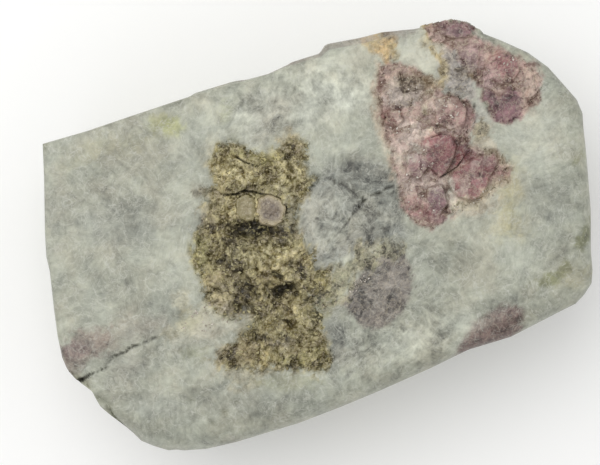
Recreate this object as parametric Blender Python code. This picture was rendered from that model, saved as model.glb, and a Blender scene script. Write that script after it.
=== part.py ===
"""A ground block of rock with pink tourmaline and a hollow of mica in its front face.

The block lies on its sawn back, at z = 0, with the ground front face up. +X runs along the
length of the block. Every size below is in millimetres, and the mesh is made in metres.
The front face is a grid that follows the outline's four sides. Its heights are the sum of
the relief of the rock, the mica hollow, the broken tourmaline, the flat-faced crystals and
the cracks. Rings of points carry the outline down the sides to the sawn back.
"""

import bmesh
import bpy
import numpy as np

MM = 0.001

THICKNESS = 34.0
BACK_EDGE_RADIUS = 3.0
FLARE_DEPTH = 7.0
SIDE_DRAFT = 0.07
CORNER_SPREAD = 9.0

GRID_STEP = 0.7
SIDE_RINGS = 28
TRIANGLE_SHARE = 0.24

# Where the front face ends: x, y, radius of the edge there, and how far the side below
# it swells outwards. It runs clockwise from the upper left corner.
OUTLINE = [
    (-40.3, 29.8, 0.8, 0.4),
    (-32.4, 29.4, 0.5, 0.4),
    (-24.6, 29.4, 0.5, 0.3),
    (-13.7, 29.3, 0.5, 0.3),
    (-6.3, 29.0, 0.5, 0.4),
    (0.3, 28.5, 0.5, 0.5),
    (3.5, 28.8, 0.5, 0.6),
    (9.9, 28.4, 0.5, 1.0),
    (11.5, 29.1, 0.5, 1.1),
    (17.7, 28.2, 0.5, 1.1),
    (23.0, 28.0, 0.6, 0.7),
    (27.3, 27.6, 0.8, 0.4),
    (33.1, 26.9, 1.2, 0.3),
    (35.4, 25.6, 1.5, 0.2),
    (36.6, 24.1, 1.5, 0.2),
    (40.2, 21.1, 2.0, 0.1),
    (44.0, 17.6, 2.5, 0.1),
    (46.6, 14.0, 3.0, 0.1),
    (48.0, 10.7, 3.0, 0.1),
    (49.5, 7.1, 3.0, 0.1),
    (49.7, 4.5, 3.0, 0.1),
    (49.0, 1.9, 3.0, 0.1),
    (48.0, -3.0, 3.5, 0.1),
    (45.8, -11.8, 3.5, 0.1),
    (43.5, -18.7, 3.5, 0.1),
    (42.7, -22.0, 3.5, 0.1),
    (41.8, -24.1, 3.5, 0.1),
    (40.0, -25.6, 4.0, 0.1),
    (38.0, -26.6, 4.0, 0.1),
    (34.3, -27.1, 4.0, 0.1),
    (25.4, -28.3, 3.5, 0.1),
    (17.7, -28.0, 3.5, 0.1),
    (10.6, -28.9, 4.0, 0.1),
    (1.1, -29.7, 4.0, 0.1),
    (-6.1, -30.2, 4.5, 0.1),
    (-14.4, -30.6, 5.0, 0.1),
    (-26.1, -30.2, 5.5, 0.1),
    (-31.2, -29.7, 6.0, 0.1),
    (-34.8, -28.8, 6.5, 0.1),
    (-37.6, -27.8, 6.5, 0.1),
    (-39.6, -26.3, 6.0, 0.1),
    (-41.5, -24.6, 6.0, 0.1),
    (-42.5, -22.3, 5.0, 0.1),
    (-44.3, -18.4, 4.5, 0.1),
    (-44.6, -16.0, 4.0, 0.1),
    (-46.3, -13.9, 3.0, 0.1),
    (-46.9, -11.4, 1.5, 0.0),
    (-47.6, -10.4, 2.0, 0.1),
    (-49.2, -8.3, 2.0, 0.2),
    (-49.3, -6.1, 1.5, 0.3),
    (-48.8, -2.4, 1.0, 0.4),
    (-47.8, 2.2, 0.8, 0.5),
    (-46.3, 8.8, 0.8, 0.5),
    (-46.0, 11.4, 0.8, 0.6),
    (-44.9, 15.3, 0.8, 0.5),
    (-42.1, 23.8, 0.8, 0.5),
]
# The outline points where the face grid's four sides meet: upper left, upper right,
# lower right and lower left.
GRID_CORNERS = (0, 17, 28, 44)

# Stepped ledges on the far side: where each begins and ends in x, and how far it stands out.
FAR_LEDGES = [(3.5, 27.0, 0.3), (10.5, 24.0, 0.4), (-14.0, -3.0, 0.3)]
LEDGE_TOP = 0.9

# The edge of the mica hollow in the front face.
MICA = [
    (-13.8, 17.6), (-12.0, 19.8), (-9.8, 20.1), (-6.0, 17.2), (-3.8, 14.8), (-1.1, 16.4),
    (1.2, 17.2), (3.1, 15.3), (1.7, 12.2), (3.3, 8.7), (0.8, 7.6), (-1.6, 5.9),
    (-3.0, 3.9), (-4.2, 1.3), (-2.5, -2.9), (-3.3, -6.2), (0.5, -5.7), (5.7, -4.8),
    (9.7, -4.6), (12.1, -6.9), (7.8, -7.9), (0.8, -8.8), (-5.0, -10.2), (-4.7, -13.5),
    (-5.7, -17.4), (-5.2, -21.1), (-8.4, -23.2), (-15.4, -19.9), (-23.3, -17.0), (-23.2, -14.9),
    (-17.9, -11.7), (-15.3, -10.2), (-20.4, -8.8), (-21.6, -6.9), (-22.8, -4.4), (-22.4, 2.9),
    (-20.1, 6.7), (-16.7, 10.1), (-16.5, 12.5), (-14.8, 13.7),
]
# Broken tourmaline in the front face: the large patch and the one by the far corner.
TOURMALINE = [
    [
        (18.4, 24.9), (23.5, 21.9), (26.6, 17.5), (31.0, 12.8), (31.6, 10.4), (30.8, 8.9),
        (29.5, 7.3), (33.5, 2.4), (34.4, -0.1), (29.2, -2.9), (23.9, -4.8), (18.2, -5.9),
        (15.8, -4.7), (14.6, 2.1), (16.0, 7.3), (14.4, 9.6), (16.9, 19.4),
    ],
    [
        (28.2, 25.1), (29.7, 27.6), (33.4, 27.2), (36.0, 25.2), (38.2, 22.3), (41.5, 18.4),
        (44.0, 15.4), (44.4, 12.4), (43.2, 10.0), (39.8, 8.3), (36.8, 7.0), (35.1, 8.2),
        (33.8, 13.6), (32.5, 17.9), (32.4, 20.8), (30.4, 23.2),
    ],
]
# Parts of the mica hollow that lie deeper: centre, half length, half width, turn in
# degrees and depth.
DEEPS = [
    ((-13.0, -7.5), 9.0, 12.0, 0.0, 1.1),
    ((-11.5, 1.9), 6.8, 2.3, -18.0, 2.0),
    ((-14.2, -5.3), 1.0, 2.3, 24.0, 1.5),
    ((-9.0, -7.6), 2.6, 0.9, -8.0, 1.9),
    ((-6.6, -9.6), 1.6, 1.1, 10.0, 0.8),
    ((-10.0, -16.5), 1.5, 0.8, -30.0, 0.9),
]
# Crystals with flat faces: outline, height of the face above the front face, and how far
# that face rises for each millimetre along x and y.
CRYSTALS = [
    ([(-7.7, 9.3), (-5.6, 8.3), (-4.4, 6.0), (-5.3, 4.0), (-8.5, 4.3), (-9.5, 6.3)], 0.5, 0.10, -0.16),
    ([(-10.3, 10.7), (-8.4, 9.8), (-9.7, 6.3), (-11.1, 5.6), (-12.7, 7.0), (-12.7, 9.0)], 0.2, -0.12, 0.10),
    ([(23.1, 9.1), (25.9, 8.6), (26.8, 6.4), (25.7, 3.8), (23.9, 2.4), (22.6, 5.5)], 0.3, 0.12, 0.05),
    ([(24.2, 2.3), (29.3, 2.2), (33.0, 2.1), (31.5, -0.4), (27.8, -3.3), (24.4, -1.6)], 0.1, -0.05, -0.14),
    ([(34.2, 14.1), (36.7, 12.6), (39.8, 10.2), (38.7, 7.8), (36.0, 7.6), (34.8, 9.8)], 0.1, 0.10, 0.08),
    ([(30.2, 26.9), (32.7, 26.8), (35.4, 25.4), (34.2, 23.8), (31.0, 24.8)], 0.2, 0.06, -0.12),
    ([(38.0, 18.4), (41.3, 16.4), (40.6, 13.8), (37.4, 14.0), (36.2, 16.4)], 0.3, -0.10, 0.08),
    ([(17.6, 16.6), (20.6, 17.4), (21.6, 14.4), (18.8, 12.6), (16.6, 13.8)], 0.2, 0.12, -0.06),
]
# Cracks in the front face: points, width and depth at the first and the last point.
CRACKS = [
    ([(-47.6, -11.2), (-46.0, -10.1), (-43.1, -10.2), (-40.9, -8.5), (-37.8, -8.3), (-31.1, -7.6)], (2.0, 1.1), (2.6, 0.6)),
    ([(7.5, 4.1), (9.7, 2.6), (12.3, 3.2), (14.4, 3.1)], (1.0, 1.0), (0.4, 0.5)),
    ([(9.7, 2.6), (4.6, 0.0), (0.1, -2.7)], (1.1, 0.9), (0.8, 0.3)),
    ([(-13.7, 12.0), (-11.8, 10.7), (-9.0, 10.6), (-7.7, 9.5), (-4.8, 7.6)], (1.1, 1.1), (0.8, 0.6)),
    ([(22.7, 3.2), (24.6, 2.4), (27.7, 3.1), (30.5, 4.3)], (1.1, 1.0), (0.9, 0.5)),
]
# The slab below the long crack stands a little lower, and ends in a raised seam.
STEP_LINE = [(-60.0, -14.0), (-47.6, -11.2), (-37.8, -8.3), (-31.1, -7.6), (-24.0, -10.0), (-14.0, -10.5)]
STEP_DROP = 0.9
# Small natural pits: centre, radius and depth.
PITS = [
    ((-28.5, -25.0), 0.8, 0.7), ((-25.9, -24.2), 1.0, 0.9), ((-23.4, -23.2), 0.7, 0.6),
    ((-30.6, -20.4), 0.6, 0.5), ((-36.2, -28.0), 1.4, 1.0), ((-19.5, -20.0), 0.8, 0.5),
    ((13.5, 19.5), 0.7, 0.4), ((4.0, 24.5), 0.8, 0.4), ((21.0, -9.5), 0.8, 0.5),
]

ROCK_RELIEF = [(24.0, 0.40), (8.0, 0.16), (3.0, 0.06)]
MICA_GRAIN = [(3.2, 0.55), (1.7, 0.30)]
TOURMALINE_GRAIN = [(3.6, 0.38), (2.0, 0.20)]
SIDE_BREAKS = [(14.0, 2.2), (6.0, 0.9), (2.8, 0.35)]


def clear_scene():
    for obj in list(bpy.data.objects):
        bpy.data.objects.remove(obj, do_unlink=True)


def smooth(t):
    """0 below 0, 1 above 1, and a soft S between them."""
    t = np.clip(t, 0.0, 1.0)
    return t * t * (3.0 - 2.0 * t)


def scatter(ix, iy, seed):
    """An even spread of numbers from 0 to 1, one for each pair of whole numbers."""
    h = ix.astype(np.int64) * 374761393 + iy.astype(np.int64) * 668265263 + seed * 974634777
    h = (h ^ (h >> 13)) & 0x7FFFFFFF
    h = (h * 1274126177) & 0x7FFFFFFF
    return ((h ^ (h >> 16)) & 0xFFFFFF) / float(0xFFFFFF)


def waves(points, size, seed):
    """Smooth relief from -1 to 1 whose lumps are about size across."""
    p = points / size
    cell = np.floor(p)
    f = smooth(p - cell)
    ix, iy = cell[:, 0], cell[:, 1]
    low = scatter(ix, iy, seed) * (1 - f[:, 0]) + scatter(ix + 1, iy, seed) * f[:, 0]
    high = scatter(ix, iy + 1, seed) * (1 - f[:, 0]) + scatter(ix + 1, iy + 1, seed) * f[:, 0]
    return 2.0 * (low * (1 - f[:, 1]) + high * f[:, 1]) - 1.0


def facets(points, size, seed):
    """Relief from about -1 to 1 made of flat, tilted faces about size across."""
    cell = np.floor(points / size)
    nearest = np.full(len(points), np.inf)
    height = np.zeros(len(points))
    for dx in (-1, 0, 1):
        for dy in (-1, 0, 1):
            ix, iy = cell[:, 0] + dx, cell[:, 1] + dy
            centre = np.column_stack([ix + scatter(ix, iy, seed), iy + scatter(ix, iy, seed + 1)])
            away = points / size - centre
            distance = (away**2).sum(1)
            tilt_x = scatter(ix, iy, seed + 2) - 0.5
            tilt_y = scatter(ix, iy, seed + 3) - 0.5
            level = 1.6 * (scatter(ix, iy, seed + 4) - 0.5)
            face = level + 2.2 * (tilt_x * away[:, 0] + tilt_y * away[:, 1])
            closer = distance < nearest
            nearest = np.where(closer, distance, nearest)
            height = np.where(closer, face, height)
    return height


def breaks(points, size, seed):
    """Relief from 0 to 1 made of flat three-sided faces that meet along sharp edges."""
    bend = np.column_stack([waves(points, 1.7 * size, seed + 7), waves(points, 1.7 * size, seed + 8)])
    p = points / size + 0.3 * bend
    p = p + (p.sum(1) * 0.366)[:, None]
    cell = np.floor(p)
    fx, fy = (p - cell).T
    ix, iy = cell.T
    lower = fx > fy
    long, short = np.maximum(fx, fy), np.minimum(fx, fy)
    middle = np.where(lower, scatter(ix + 1, iy, seed), scatter(ix, iy + 1, seed))
    return (1 - long) * scatter(ix, iy, seed) + (long - short) * middle + short * scatter(ix + 1, iy + 1, seed)


def along_line(points, line):
    """For each point, its distance to a line through the given corners, how far along that
    line it comes, from 0 to 1, and which side of it the point is on."""
    corners = np.array(line, float)
    lengths = np.linalg.norm(np.diff(corners, axis=0), axis=1)
    reached = np.concatenate([[0.0], np.cumsum(lengths)])
    best = np.full(len(points), np.inf)
    share = np.zeros(len(points))
    side = np.zeros(len(points))
    for i, (a, b) in enumerate(zip(corners[:-1], corners[1:])):
        run = b - a
        t = np.clip(((points - a) @ run) / (run @ run), 0.0, 1.0)
        away = points - (a + t[:, None] * run)
        distance = np.hypot(away[:, 0], away[:, 1])
        closer = distance < best
        best = np.where(closer, distance, best)
        share = np.where(closer, (reached[i] + t * lengths[i]) / reached[-1], share)
        turn = run[0] * (points[:, 1] - a[1]) - run[1] * (points[:, 0] - a[0])
        side = np.where(closer, np.sign(turn), side)
    return best, share, side


def inside(points, outline):
    """Distance to a closed outline, above 0 inside it and below 0 outside it."""
    corners = np.array(outline, float)
    distance, _, _ = along_line(points, np.vstack([corners, corners[:1]]))
    within = np.zeros(len(points), bool)
    for a, b in zip(corners, np.roll(corners, -1, axis=0)):
        spans = (a[1] > points[:, 1]) != (b[1] > points[:, 1])
        rise = b[1] - a[1] if b[1] != a[1] else 1e-9
        crossing = a[0] + (points[:, 1] - a[1]) * (b[0] - a[0]) / rise
        within ^= spans & (points[:, 0] < crossing)
    return np.where(within, distance, -distance)


def rock_relief(points):
    return sum(size * waves(points, scale, 10 + i) for i, (scale, size) in enumerate(ROCK_RELIEF))


def mica_relief(points):
    """The hollow with its lumps of mica and its deeper places."""
    share = smooth(inside(points, MICA) / 1.6 + 0.3)
    grain = sum(size * facets(points, scale, 30 + 10 * i) for i, (scale, size) in enumerate(MICA_GRAIN))
    depth = 0.7 + np.zeros(len(points))
    for centre, half_length, half_width, turn, deep in DEEPS:
        angle = np.radians(turn)
        x, y = (points - np.array(centre)).T
        along = (x * np.cos(angle) + y * np.sin(angle)) / half_length
        across = (y * np.cos(angle) - x * np.sin(angle)) / half_width
        depth += deep * smooth(1.5 * (1.0 - np.hypot(along, across)))
    return share * (grain - depth)


def tourmaline_relief(points):
    relief = np.zeros(len(points))
    for patch in TOURMALINE:
        share = smooth(inside(points, patch) / 0.9 + 0.2)
        grain = sum(
            size * facets(points, scale, 60 + 10 * i) for i, (scale, size) in enumerate(TOURMALINE_GRAIN)
        )
        relief += share * (grain - 0.4)
    return relief


def with_crystals(points, relief):
    """Sets the flat faces of the larger crystals into the relief."""
    for outline, level, rise_x, rise_y in CRYSTALS:
        centre = np.mean(outline, axis=0)
        share = smooth(inside(points, outline) / 0.5 + 0.5)
        face = level + (points - centre) @ np.array([rise_x, rise_y])
        relief = relief + share * (face - relief)
    return relief


def crack_relief(points):
    relief = np.zeros(len(points))
    for line, widths, depths in CRACKS:
        distance, share, _ = along_line(points, line)
        width = widths[0] + share * (widths[1] - widths[0])
        depth = depths[0] + share * (depths[1] - depths[0])
        relief = np.minimum(relief, -depth * smooth(1.0 - distance / width))
    return relief


def step_relief(points):
    """The lower slab drops towards the lower left, and ends along the seam."""
    distance, share, side = along_line(points, STEP_LINE)
    below = smooth(0.5 - side * distance / 0.8)
    fade = smooth((share - 0.1) / 0.8)
    return -STEP_DROP * below * (1 - fade) * smooth(1.2 - distance / 22.0)


def pit_relief(points):
    relief = np.zeros(len(points))
    for centre, radius, depth in PITS:
        away = np.hypot(*(points - np.array(centre)).T)
        relief -= depth * smooth(1.0 - away / radius)
    return relief


def edge_drop(points, edge):
    """How far the face falls where it rounds over into the sides."""
    distance = np.full(len(points), np.inf)
    radius = np.zeros(len(points))
    for x, y, edge_radius, _ in edge:
        away = np.hypot(points[:, 0] - x, points[:, 1] - y)
        closer = away < distance
        distance = np.where(closer, away, distance)
        radius = np.where(closer, edge_radius, radius)
    reach = np.clip(1.0 - distance / radius, 0.0, 1.0)
    return radius * (1.0 - np.sqrt(1.0 - reach**2))


def face_height(points, edge):
    """Height of the front face above the back, at each point of the plane."""
    relief = rock_relief(points) + mica_relief(points) + tourmaline_relief(points)
    relief = with_crystals(points, relief)
    relief = relief + step_relief(points) + pit_relief(points)
    relief = relief + crack_relief(points)
    return THICKNESS + relief - edge_drop(points, edge)


def run_of_edge(first, last, count):
    """Points at even steps along the outline from one of its corners to another, with the
    edge radius and the flare there."""
    corners = np.array(OUTLINE, float)
    chosen = corners[first : last + 1] if last > first else np.vstack([corners[first:], corners[: last + 1]])
    reached = np.concatenate([[0.0], np.cumsum(np.linalg.norm(np.diff(chosen[:, :2], axis=0), axis=1))])
    steps = np.linspace(0.0, reached[-1], count + 1)
    return np.column_stack([np.interp(steps, reached, chosen[:, i]) for i in range(4)])


def face_grid(top, right, bottom, left):
    """Fills the space between the four runs of the outline with rows of points."""
    columns, rows = len(top), len(left)
    u = np.linspace(0.0, 1.0, columns)[None, :, None]
    v = np.linspace(0.0, 1.0, rows)[:, None, None]
    across = (1 - v) * bottom[None, :, :2] + v * top[None, :, :2]
    along = (1 - u) * left[:, None, :2] + u * right[:, None, :2]
    corners = (
        (1 - u) * (1 - v) * bottom[0, :2]
        + u * (1 - v) * bottom[-1, :2]
        + (1 - u) * v * top[0, :2]
        + u * v * top[-1, :2]
    )
    return across + along - corners


def broken_side(reached, depth):
    """How far the broken side is cut back at these places along the edge, at one depth."""
    around = reached[-1]
    join = smooth((reached - around + 12.0) / 12.0)
    cut = np.zeros(len(reached))
    for i, (scale, size) in enumerate(SIDE_BREAKS):
        at = np.column_stack([reached, np.full(len(reached), depth)])
        here = breaks(at, scale, 90 + 10 * i)
        start = breaks(at - [around, 0.0], scale, 90 + 10 * i)
        cut += size * ((1 - join) * here + join * start)
    return cut * smooth((depth - 1.5) / 8.0)


def side_offset(edge, reached, depth):
    """How far outside the face's edge the side lies, this far below the edge."""
    swell = edge[:, 3] * np.sin(0.5 * np.pi * min(depth / FLARE_DEPTH, 1.0))
    draft = SIDE_DRAFT * max(depth - FLARE_DEPTH, 0.0)
    ledges = np.zeros(len(edge))
    far_side = edge[:, 1] > 20.0
    for first, last, out in FAR_LEDGES:
        within = smooth((edge[:, 0] - first) / 1.5) * smooth((last - edge[:, 0]) / 3.0)
        ledges += np.where(far_side, out * within * smooth((depth - LEDGE_TOP) / 0.5), 0.0)
    notch, _, _ = along_line(edge[:, :2], [(-47.4, -11.2), (-46.8, -11.6)])
    split = 1.3 * smooth(1.0 - notch / 1.6) * smooth(1.0 - depth / 14.0)
    return swell + ledges - draft - broken_side(reached, depth) - split


def outward_of(edge, reach):
    """The outward direction at each point of the edge, longer at the corners, as a mitre is.
    A wide reach turns it slowly around the sharp corners, so that the rings of points don't
    cross where they step inwards."""
    ahead = sum(np.roll(edge[:, :2], -i, axis=0) - np.roll(edge[:, :2], i, axis=0) for i in range(1, reach + 1))
    outward = np.column_stack([-ahead[:, 1], ahead[:, 0]]) / (GRID_STEP * reach * (reach + 1))
    return outward / (outward**2).sum(1)[:, None]


def side_rings(edge, heights):
    """The rings of points down the sides, from just below the face to the sawn back."""
    reached = np.cumsum(np.linalg.norm(edge[:, :2] - np.roll(edge[:, :2], 1, axis=0), axis=1))
    outward = outward_of(edge, 1)
    spread = outward_of(edge, round(CORNER_SPREAD / GRID_STEP))
    rings = []
    for ring in range(1, SIDE_RINGS + 1):
        share = ring / SIDE_RINGS
        z = heights * (1.0 - share) ** 1.15
        level = THICKNESS * (1.0 - share) ** 1.15
        low = np.clip(1.0 - level / BACK_EDGE_RADIUS, 0.0, 1.0)
        inset = BACK_EDGE_RADIUS * (1.0 - np.sqrt(1.0 - low**2))
        out = side_offset(edge, reached, THICKNESS - level) - inset
        direction = np.where((out > 0)[:, None], outward, spread)
        rings.append(np.column_stack([edge[:, :2] + direction * out[:, None], z]))
    return rings


def stone_mesh():
    """The whole block as one closed mesh: the face grid, the side rings and the back."""
    upper_left, upper_right, lower_right, lower_left = GRID_CORNERS
    columns, rows = round(88.0 / GRID_STEP), round(47.0 / GRID_STEP)
    top = run_of_edge(upper_left, upper_right, columns)
    right = run_of_edge(upper_right, lower_right, rows)
    bottom = run_of_edge(lower_right, lower_left, columns)
    left = run_of_edge(lower_left, upper_left, rows)
    edge = np.vstack([top[:-1], right[:-1], bottom[:-1], left[:-1]])
    grid = face_grid(top, right[::-1], bottom[::-1], left)

    points = grid.reshape(-1, 2)
    face = np.column_stack([points, face_height(points, edge)])
    shape = bmesh.new()
    verts = [shape.verts.new(p * MM) for p in face]
    across = columns + 1
    for row in range(rows):
        for column in range(columns):
            a = row * across + column
            shape.faces.new((verts[a], verts[a + 1], verts[a + across + 1], verts[a + across]))

    last_row = rows * across
    loop = [verts[last_row + column] for column in range(columns)]
    loop += [verts[row * across + columns] for row in range(rows, 0, -1)]
    loop += [verts[column] for column in range(columns, 0, -1)]
    loop += [verts[row * across] for row in range(rows)]
    heights = np.array([vert.co.z / MM for vert in loop])
    for ring in side_rings(edge, heights):
        below = [shape.verts.new(p * MM) for p in ring]
        for i in range(len(loop)):
            j = (i + 1) % len(loop)
            shape.faces.new((loop[i], loop[j], below[j], below[i]))
        loop = below
    shape.faces.new(loop)
    bmesh.ops.recalc_face_normals(shape, faces=shape.faces)
    mesh = bpy.data.meshes.new("tourmaline_stone")
    shape.to_mesh(mesh)
    shape.free()
    return mesh


def rock_material():
    material = bpy.data.materials.new("ground rock")
    material.use_nodes = True
    shader = material.node_tree.nodes["Principled BSDF"]
    shader.inputs["Base Color"].default_value = (0.52, 0.54, 0.50, 1.0)
    shader.inputs["Roughness"].default_value = 0.55
    shader.inputs["Metallic"].default_value = 0.0
    return material


def make_stone():
    mesh = stone_mesh()
    mesh.shade_smooth()
    mesh.set_sharp_from_angle(angle=0.5)
    mesh.materials.append(rock_material())
    stone = bpy.data.objects.new("tourmaline_stone", mesh)
    bpy.context.scene.collection.objects.link(stone)
    fewer = stone.modifiers.new("fewer triangles on even ground", "DECIMATE")
    fewer.ratio = TRIANGLE_SHARE
    return stone


def main():
    clear_scene()
    make_stone()


main()
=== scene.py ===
"""Finishes a ground block of rock with pink tourmaline and mica, and sets up the floor, lights and camera
for its picture.

The block is albite and quartz, ground on its front face. In that face are two patches of
broken pink tourmaline, a hollow lined with flakes of mica, a lilac patch and gold and
olive stains. Lengths are in millimetres, and meshes are made in metres.
"""

import math

import bmesh
import bpy
import numpy as np
from bpy.props import FloatProperty, FloatVectorProperty, IntProperty, PointerProperty
from mathutils import Matrix


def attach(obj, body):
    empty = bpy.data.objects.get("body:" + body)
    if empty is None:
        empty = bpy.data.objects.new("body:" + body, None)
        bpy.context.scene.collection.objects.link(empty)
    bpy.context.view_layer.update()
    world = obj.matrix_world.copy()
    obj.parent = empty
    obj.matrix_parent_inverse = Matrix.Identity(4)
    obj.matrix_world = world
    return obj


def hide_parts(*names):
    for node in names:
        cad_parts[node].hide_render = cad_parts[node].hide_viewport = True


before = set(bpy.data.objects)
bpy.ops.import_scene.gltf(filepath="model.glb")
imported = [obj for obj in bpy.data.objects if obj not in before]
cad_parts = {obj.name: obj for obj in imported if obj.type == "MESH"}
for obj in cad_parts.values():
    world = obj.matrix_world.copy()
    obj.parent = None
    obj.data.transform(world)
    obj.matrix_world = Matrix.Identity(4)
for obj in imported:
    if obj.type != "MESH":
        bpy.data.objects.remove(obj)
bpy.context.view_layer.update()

bl_info = {
    "name": "Tourmaline in rock",
    "version": (1, 0, 0),
    "blender": (4, 5, 0),
    "location": "View3D > Sidebar > Tourmaline",
    "description": "Makes a ground block of rock with pink tourmaline and mica",
    "category": "Object",
}

MM = 0.001
# How far out from a shape the distance to it is still worked out, in mm.
FAR = 4.0
# The block from its sawn back to its ground face, and the rounding of the back's rim.
THICKNESS = 34.0
BACK_EDGE_RADIUS = 3.0
# The sides swell out down to this depth below the face, and draw in by this share below it.
FLARE_DEPTH = 7.0
SIDE_DRAFT = 0.07
# How far along the edge its direction is averaged where a side is cut back.
CORNER_SPREAD = 9.0
# How many rings of points the sides have, and how they crowd towards the back.
SIDE_RINGS = 50
RING_CROWDING = 1.15
# The lengths that the face's grid is divided along, and how much coarser the back's grid is.
FACE_LENGTH = 88.0
FACE_WIDTH = 47.0
BACK_COARSER = 4
# Spacing of the edge's points where only the distance to the edge is needed.
COARSE_STEP = 2.0
# How far the stone is turned in the picture, in degrees.
PICTURE_TURN = 19.0
# How deep the mica hollow and the tourmaline lie on the whole.
HOLLOW_DEPTH = 0.7
TOURMALINE_DEPTH = 0.4
# How far a crust of grains stands above its ground, dips at its rim, reaches past its outline
# and stays away from the face's edge, how far it sinks under a block, and how much lower the
# rock's own face is made below it.
CRUST_RISE = 0.34
CRUST_DIP = 0.5
CRUST_MARGIN = 1.1
CRUST_BORDER = 0.6
BLOCK_BED = 1.1
ROCK_BELOW = 0.6
# How far a plate of mica lies above the hollow's ground.
PLATE_RISE = 0.30
# How much of the fine lumps is worn away on the larger crystals.
CRYSTAL_WEAR = 0.45
# The length and width of a small grain as shares of its size, and how its foot narrows.
GRAIN_LENGTH = 1.35
GRAIN_WIDTH = 0.75
GRAIN_FOOT = 0.85
# How far the faces of a broken surface differ in level and tilt, for their size, and how far
# wear rounds the steps between them.
FACET_LEVELS = 1.6
FACET_TILT = 2.2
FACET_WEAR = 0.11
# The sides' breaks begin this far below the face and grow over the next stretch. At the end of
# the way round, they go over into those at its start.
BREAKS_START = 1.5
BREAKS_GROWTH = 8.0
JOIN = 12.0
# The height of a blocky crystal's top above the face, how deep its foot lies, how worn its
# edges are, how far apart its points are and how much wider its foot is.
BLOCK_RISE = 0.25
BLOCK_HEIGHT = 3.0
BLOCK_EDGE = 0.32
BLOCK_STEP = 0.22
BLOCK_FOOT = 1.12
# The starting numbers of the scattered patterns, which keep them apart.
ROCK_SEED, MICA_SEED, TOURMALINE_SEED, SIDE_SEED = 10, 30, 60, 90
MICA_LUMPS_SEED, PLATE_TONE_SEED, TOURMALINE_LUMPS_SEED = 200, 300, 400
STRAY_SEED, CRACK_SEED, SIDE_RIM_SEED, BACK_RIM_SEED = 500, 520, 530, 550
LIGHT_SEED, WANDER_SEED, DEEPS_SEED, BLOCK_SEED, CRUMB_SEED = 570, 580, 590, 600, 630
# The stage, in m: the softbox's size, its place to the right, up and out from the stone as the
# picture shows it, the floor's width, and how wide a strip of the face the picture shows.
SOFTBOX_SIZE = 0.45
SOFTBOX_PLACE = np.array([-0.16, 0.18, 0.55])
FLOOR_SIZE = 3.0
WIDTH_SHOWN = 0.1033
# The camera's sensor, and the place on the face that it looks at, in mm.
SENSOR_WIDTH = 36.0
AIM = (-3.45, 1.07)

# Where the front face ends: x, y, radius of the edge there, and how far the side below
# it swells outwards. It runs clockwise from the upper left corner.
OUTLINE = [
    (-40.3, 29.8, 0.8, 0.4), (-32.4, 29.4, 0.5, 0.4), (-24.6, 29.4, 0.5, 0.3), (-13.7, 29.3, 0.5, 0.3),
    (-6.3, 29.0, 0.5, 0.4), (0.3, 28.5, 0.5, 0.5), (3.5, 28.8, 0.5, 0.6), (9.9, 28.4, 0.5, 1.0),
    (11.5, 29.1, 0.5, 1.1), (17.7, 28.2, 0.5, 1.1), (23.0, 28.0, 0.6, 0.7), (27.3, 27.6, 0.8, 0.4),
    (33.1, 26.9, 1.2, 0.3), (35.4, 25.6, 1.5, 0.2), (36.6, 24.1, 1.5, 0.2), (40.2, 21.1, 2.0, 0.1),
    (44.0, 17.6, 2.5, 0.1), (46.6, 14.0, 3.0, 0.1), (48.0, 10.7, 3.0, 0.1), (49.5, 7.1, 3.0, 0.1),
    (49.7, 4.5, 3.0, 0.1), (49.0, 1.9, 3.0, 0.1), (48.0, -3.0, 3.5, 0.1), (45.8, -11.8, 3.5, 0.1),
    (43.5, -18.7, 3.5, 0.1), (42.7, -22.0, 3.5, 0.1), (41.8, -24.1, 3.5, 0.1), (40.0, -25.6, 4.0, 0.1),
    (38.0, -26.6, 4.0, 0.1), (34.3, -27.1, 4.0, 0.1), (25.4, -28.3, 3.5, 0.1), (17.7, -28.0, 3.5, 0.1),
    (10.6, -28.9, 4.0, 0.1), (1.1, -29.7, 4.0, 0.1), (-6.1, -30.2, 4.5, 0.1), (-14.4, -30.6, 5.0, 0.1),
    (-26.1, -30.2, 5.5, 0.1), (-31.2, -29.7, 6.0, 0.1), (-34.8, -28.8, 6.5, 0.1), (-37.6, -27.8, 6.5, 0.1),
    (-39.6, -26.3, 6.0, 0.1), (-41.5, -24.6, 6.0, 0.1), (-42.5, -22.3, 5.0, 0.1), (-44.3, -18.4, 1.5, 0.1),
    (-44.6, -16.0, 1.5, 0.1), (-46.3, -13.9, 1.5, 0.1), (-46.9, -11.4, 1.5, 0.0), (-47.6, -10.4, 2.0, 0.1),
    (-49.2, -8.3, 2.0, 0.2), (-49.3, -6.1, 1.5, 0.3), (-48.8, -2.4, 1.0, 0.4), (-47.8, 2.2, 0.8, 0.5),
    (-46.3, 8.8, 0.8, 0.5), (-46.0, 11.4, 0.8, 0.6), (-44.9, 15.3, 0.8, 0.5), (-42.1, 23.8, 0.8, 0.5),
]
# The outline points where the face grid's four sides meet.
GRID_CORNERS = (0, 17, 28, 44)
# Stepped ledges on the far side: where each begins and ends in x, and how far it stands out.
FAR_LEDGES = [(3.5, 27.0, 0.3), (10.5, 24.0, 0.4), (-14.0, -3.0, 0.3)]
LEDGE_TOP = 0.9

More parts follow.
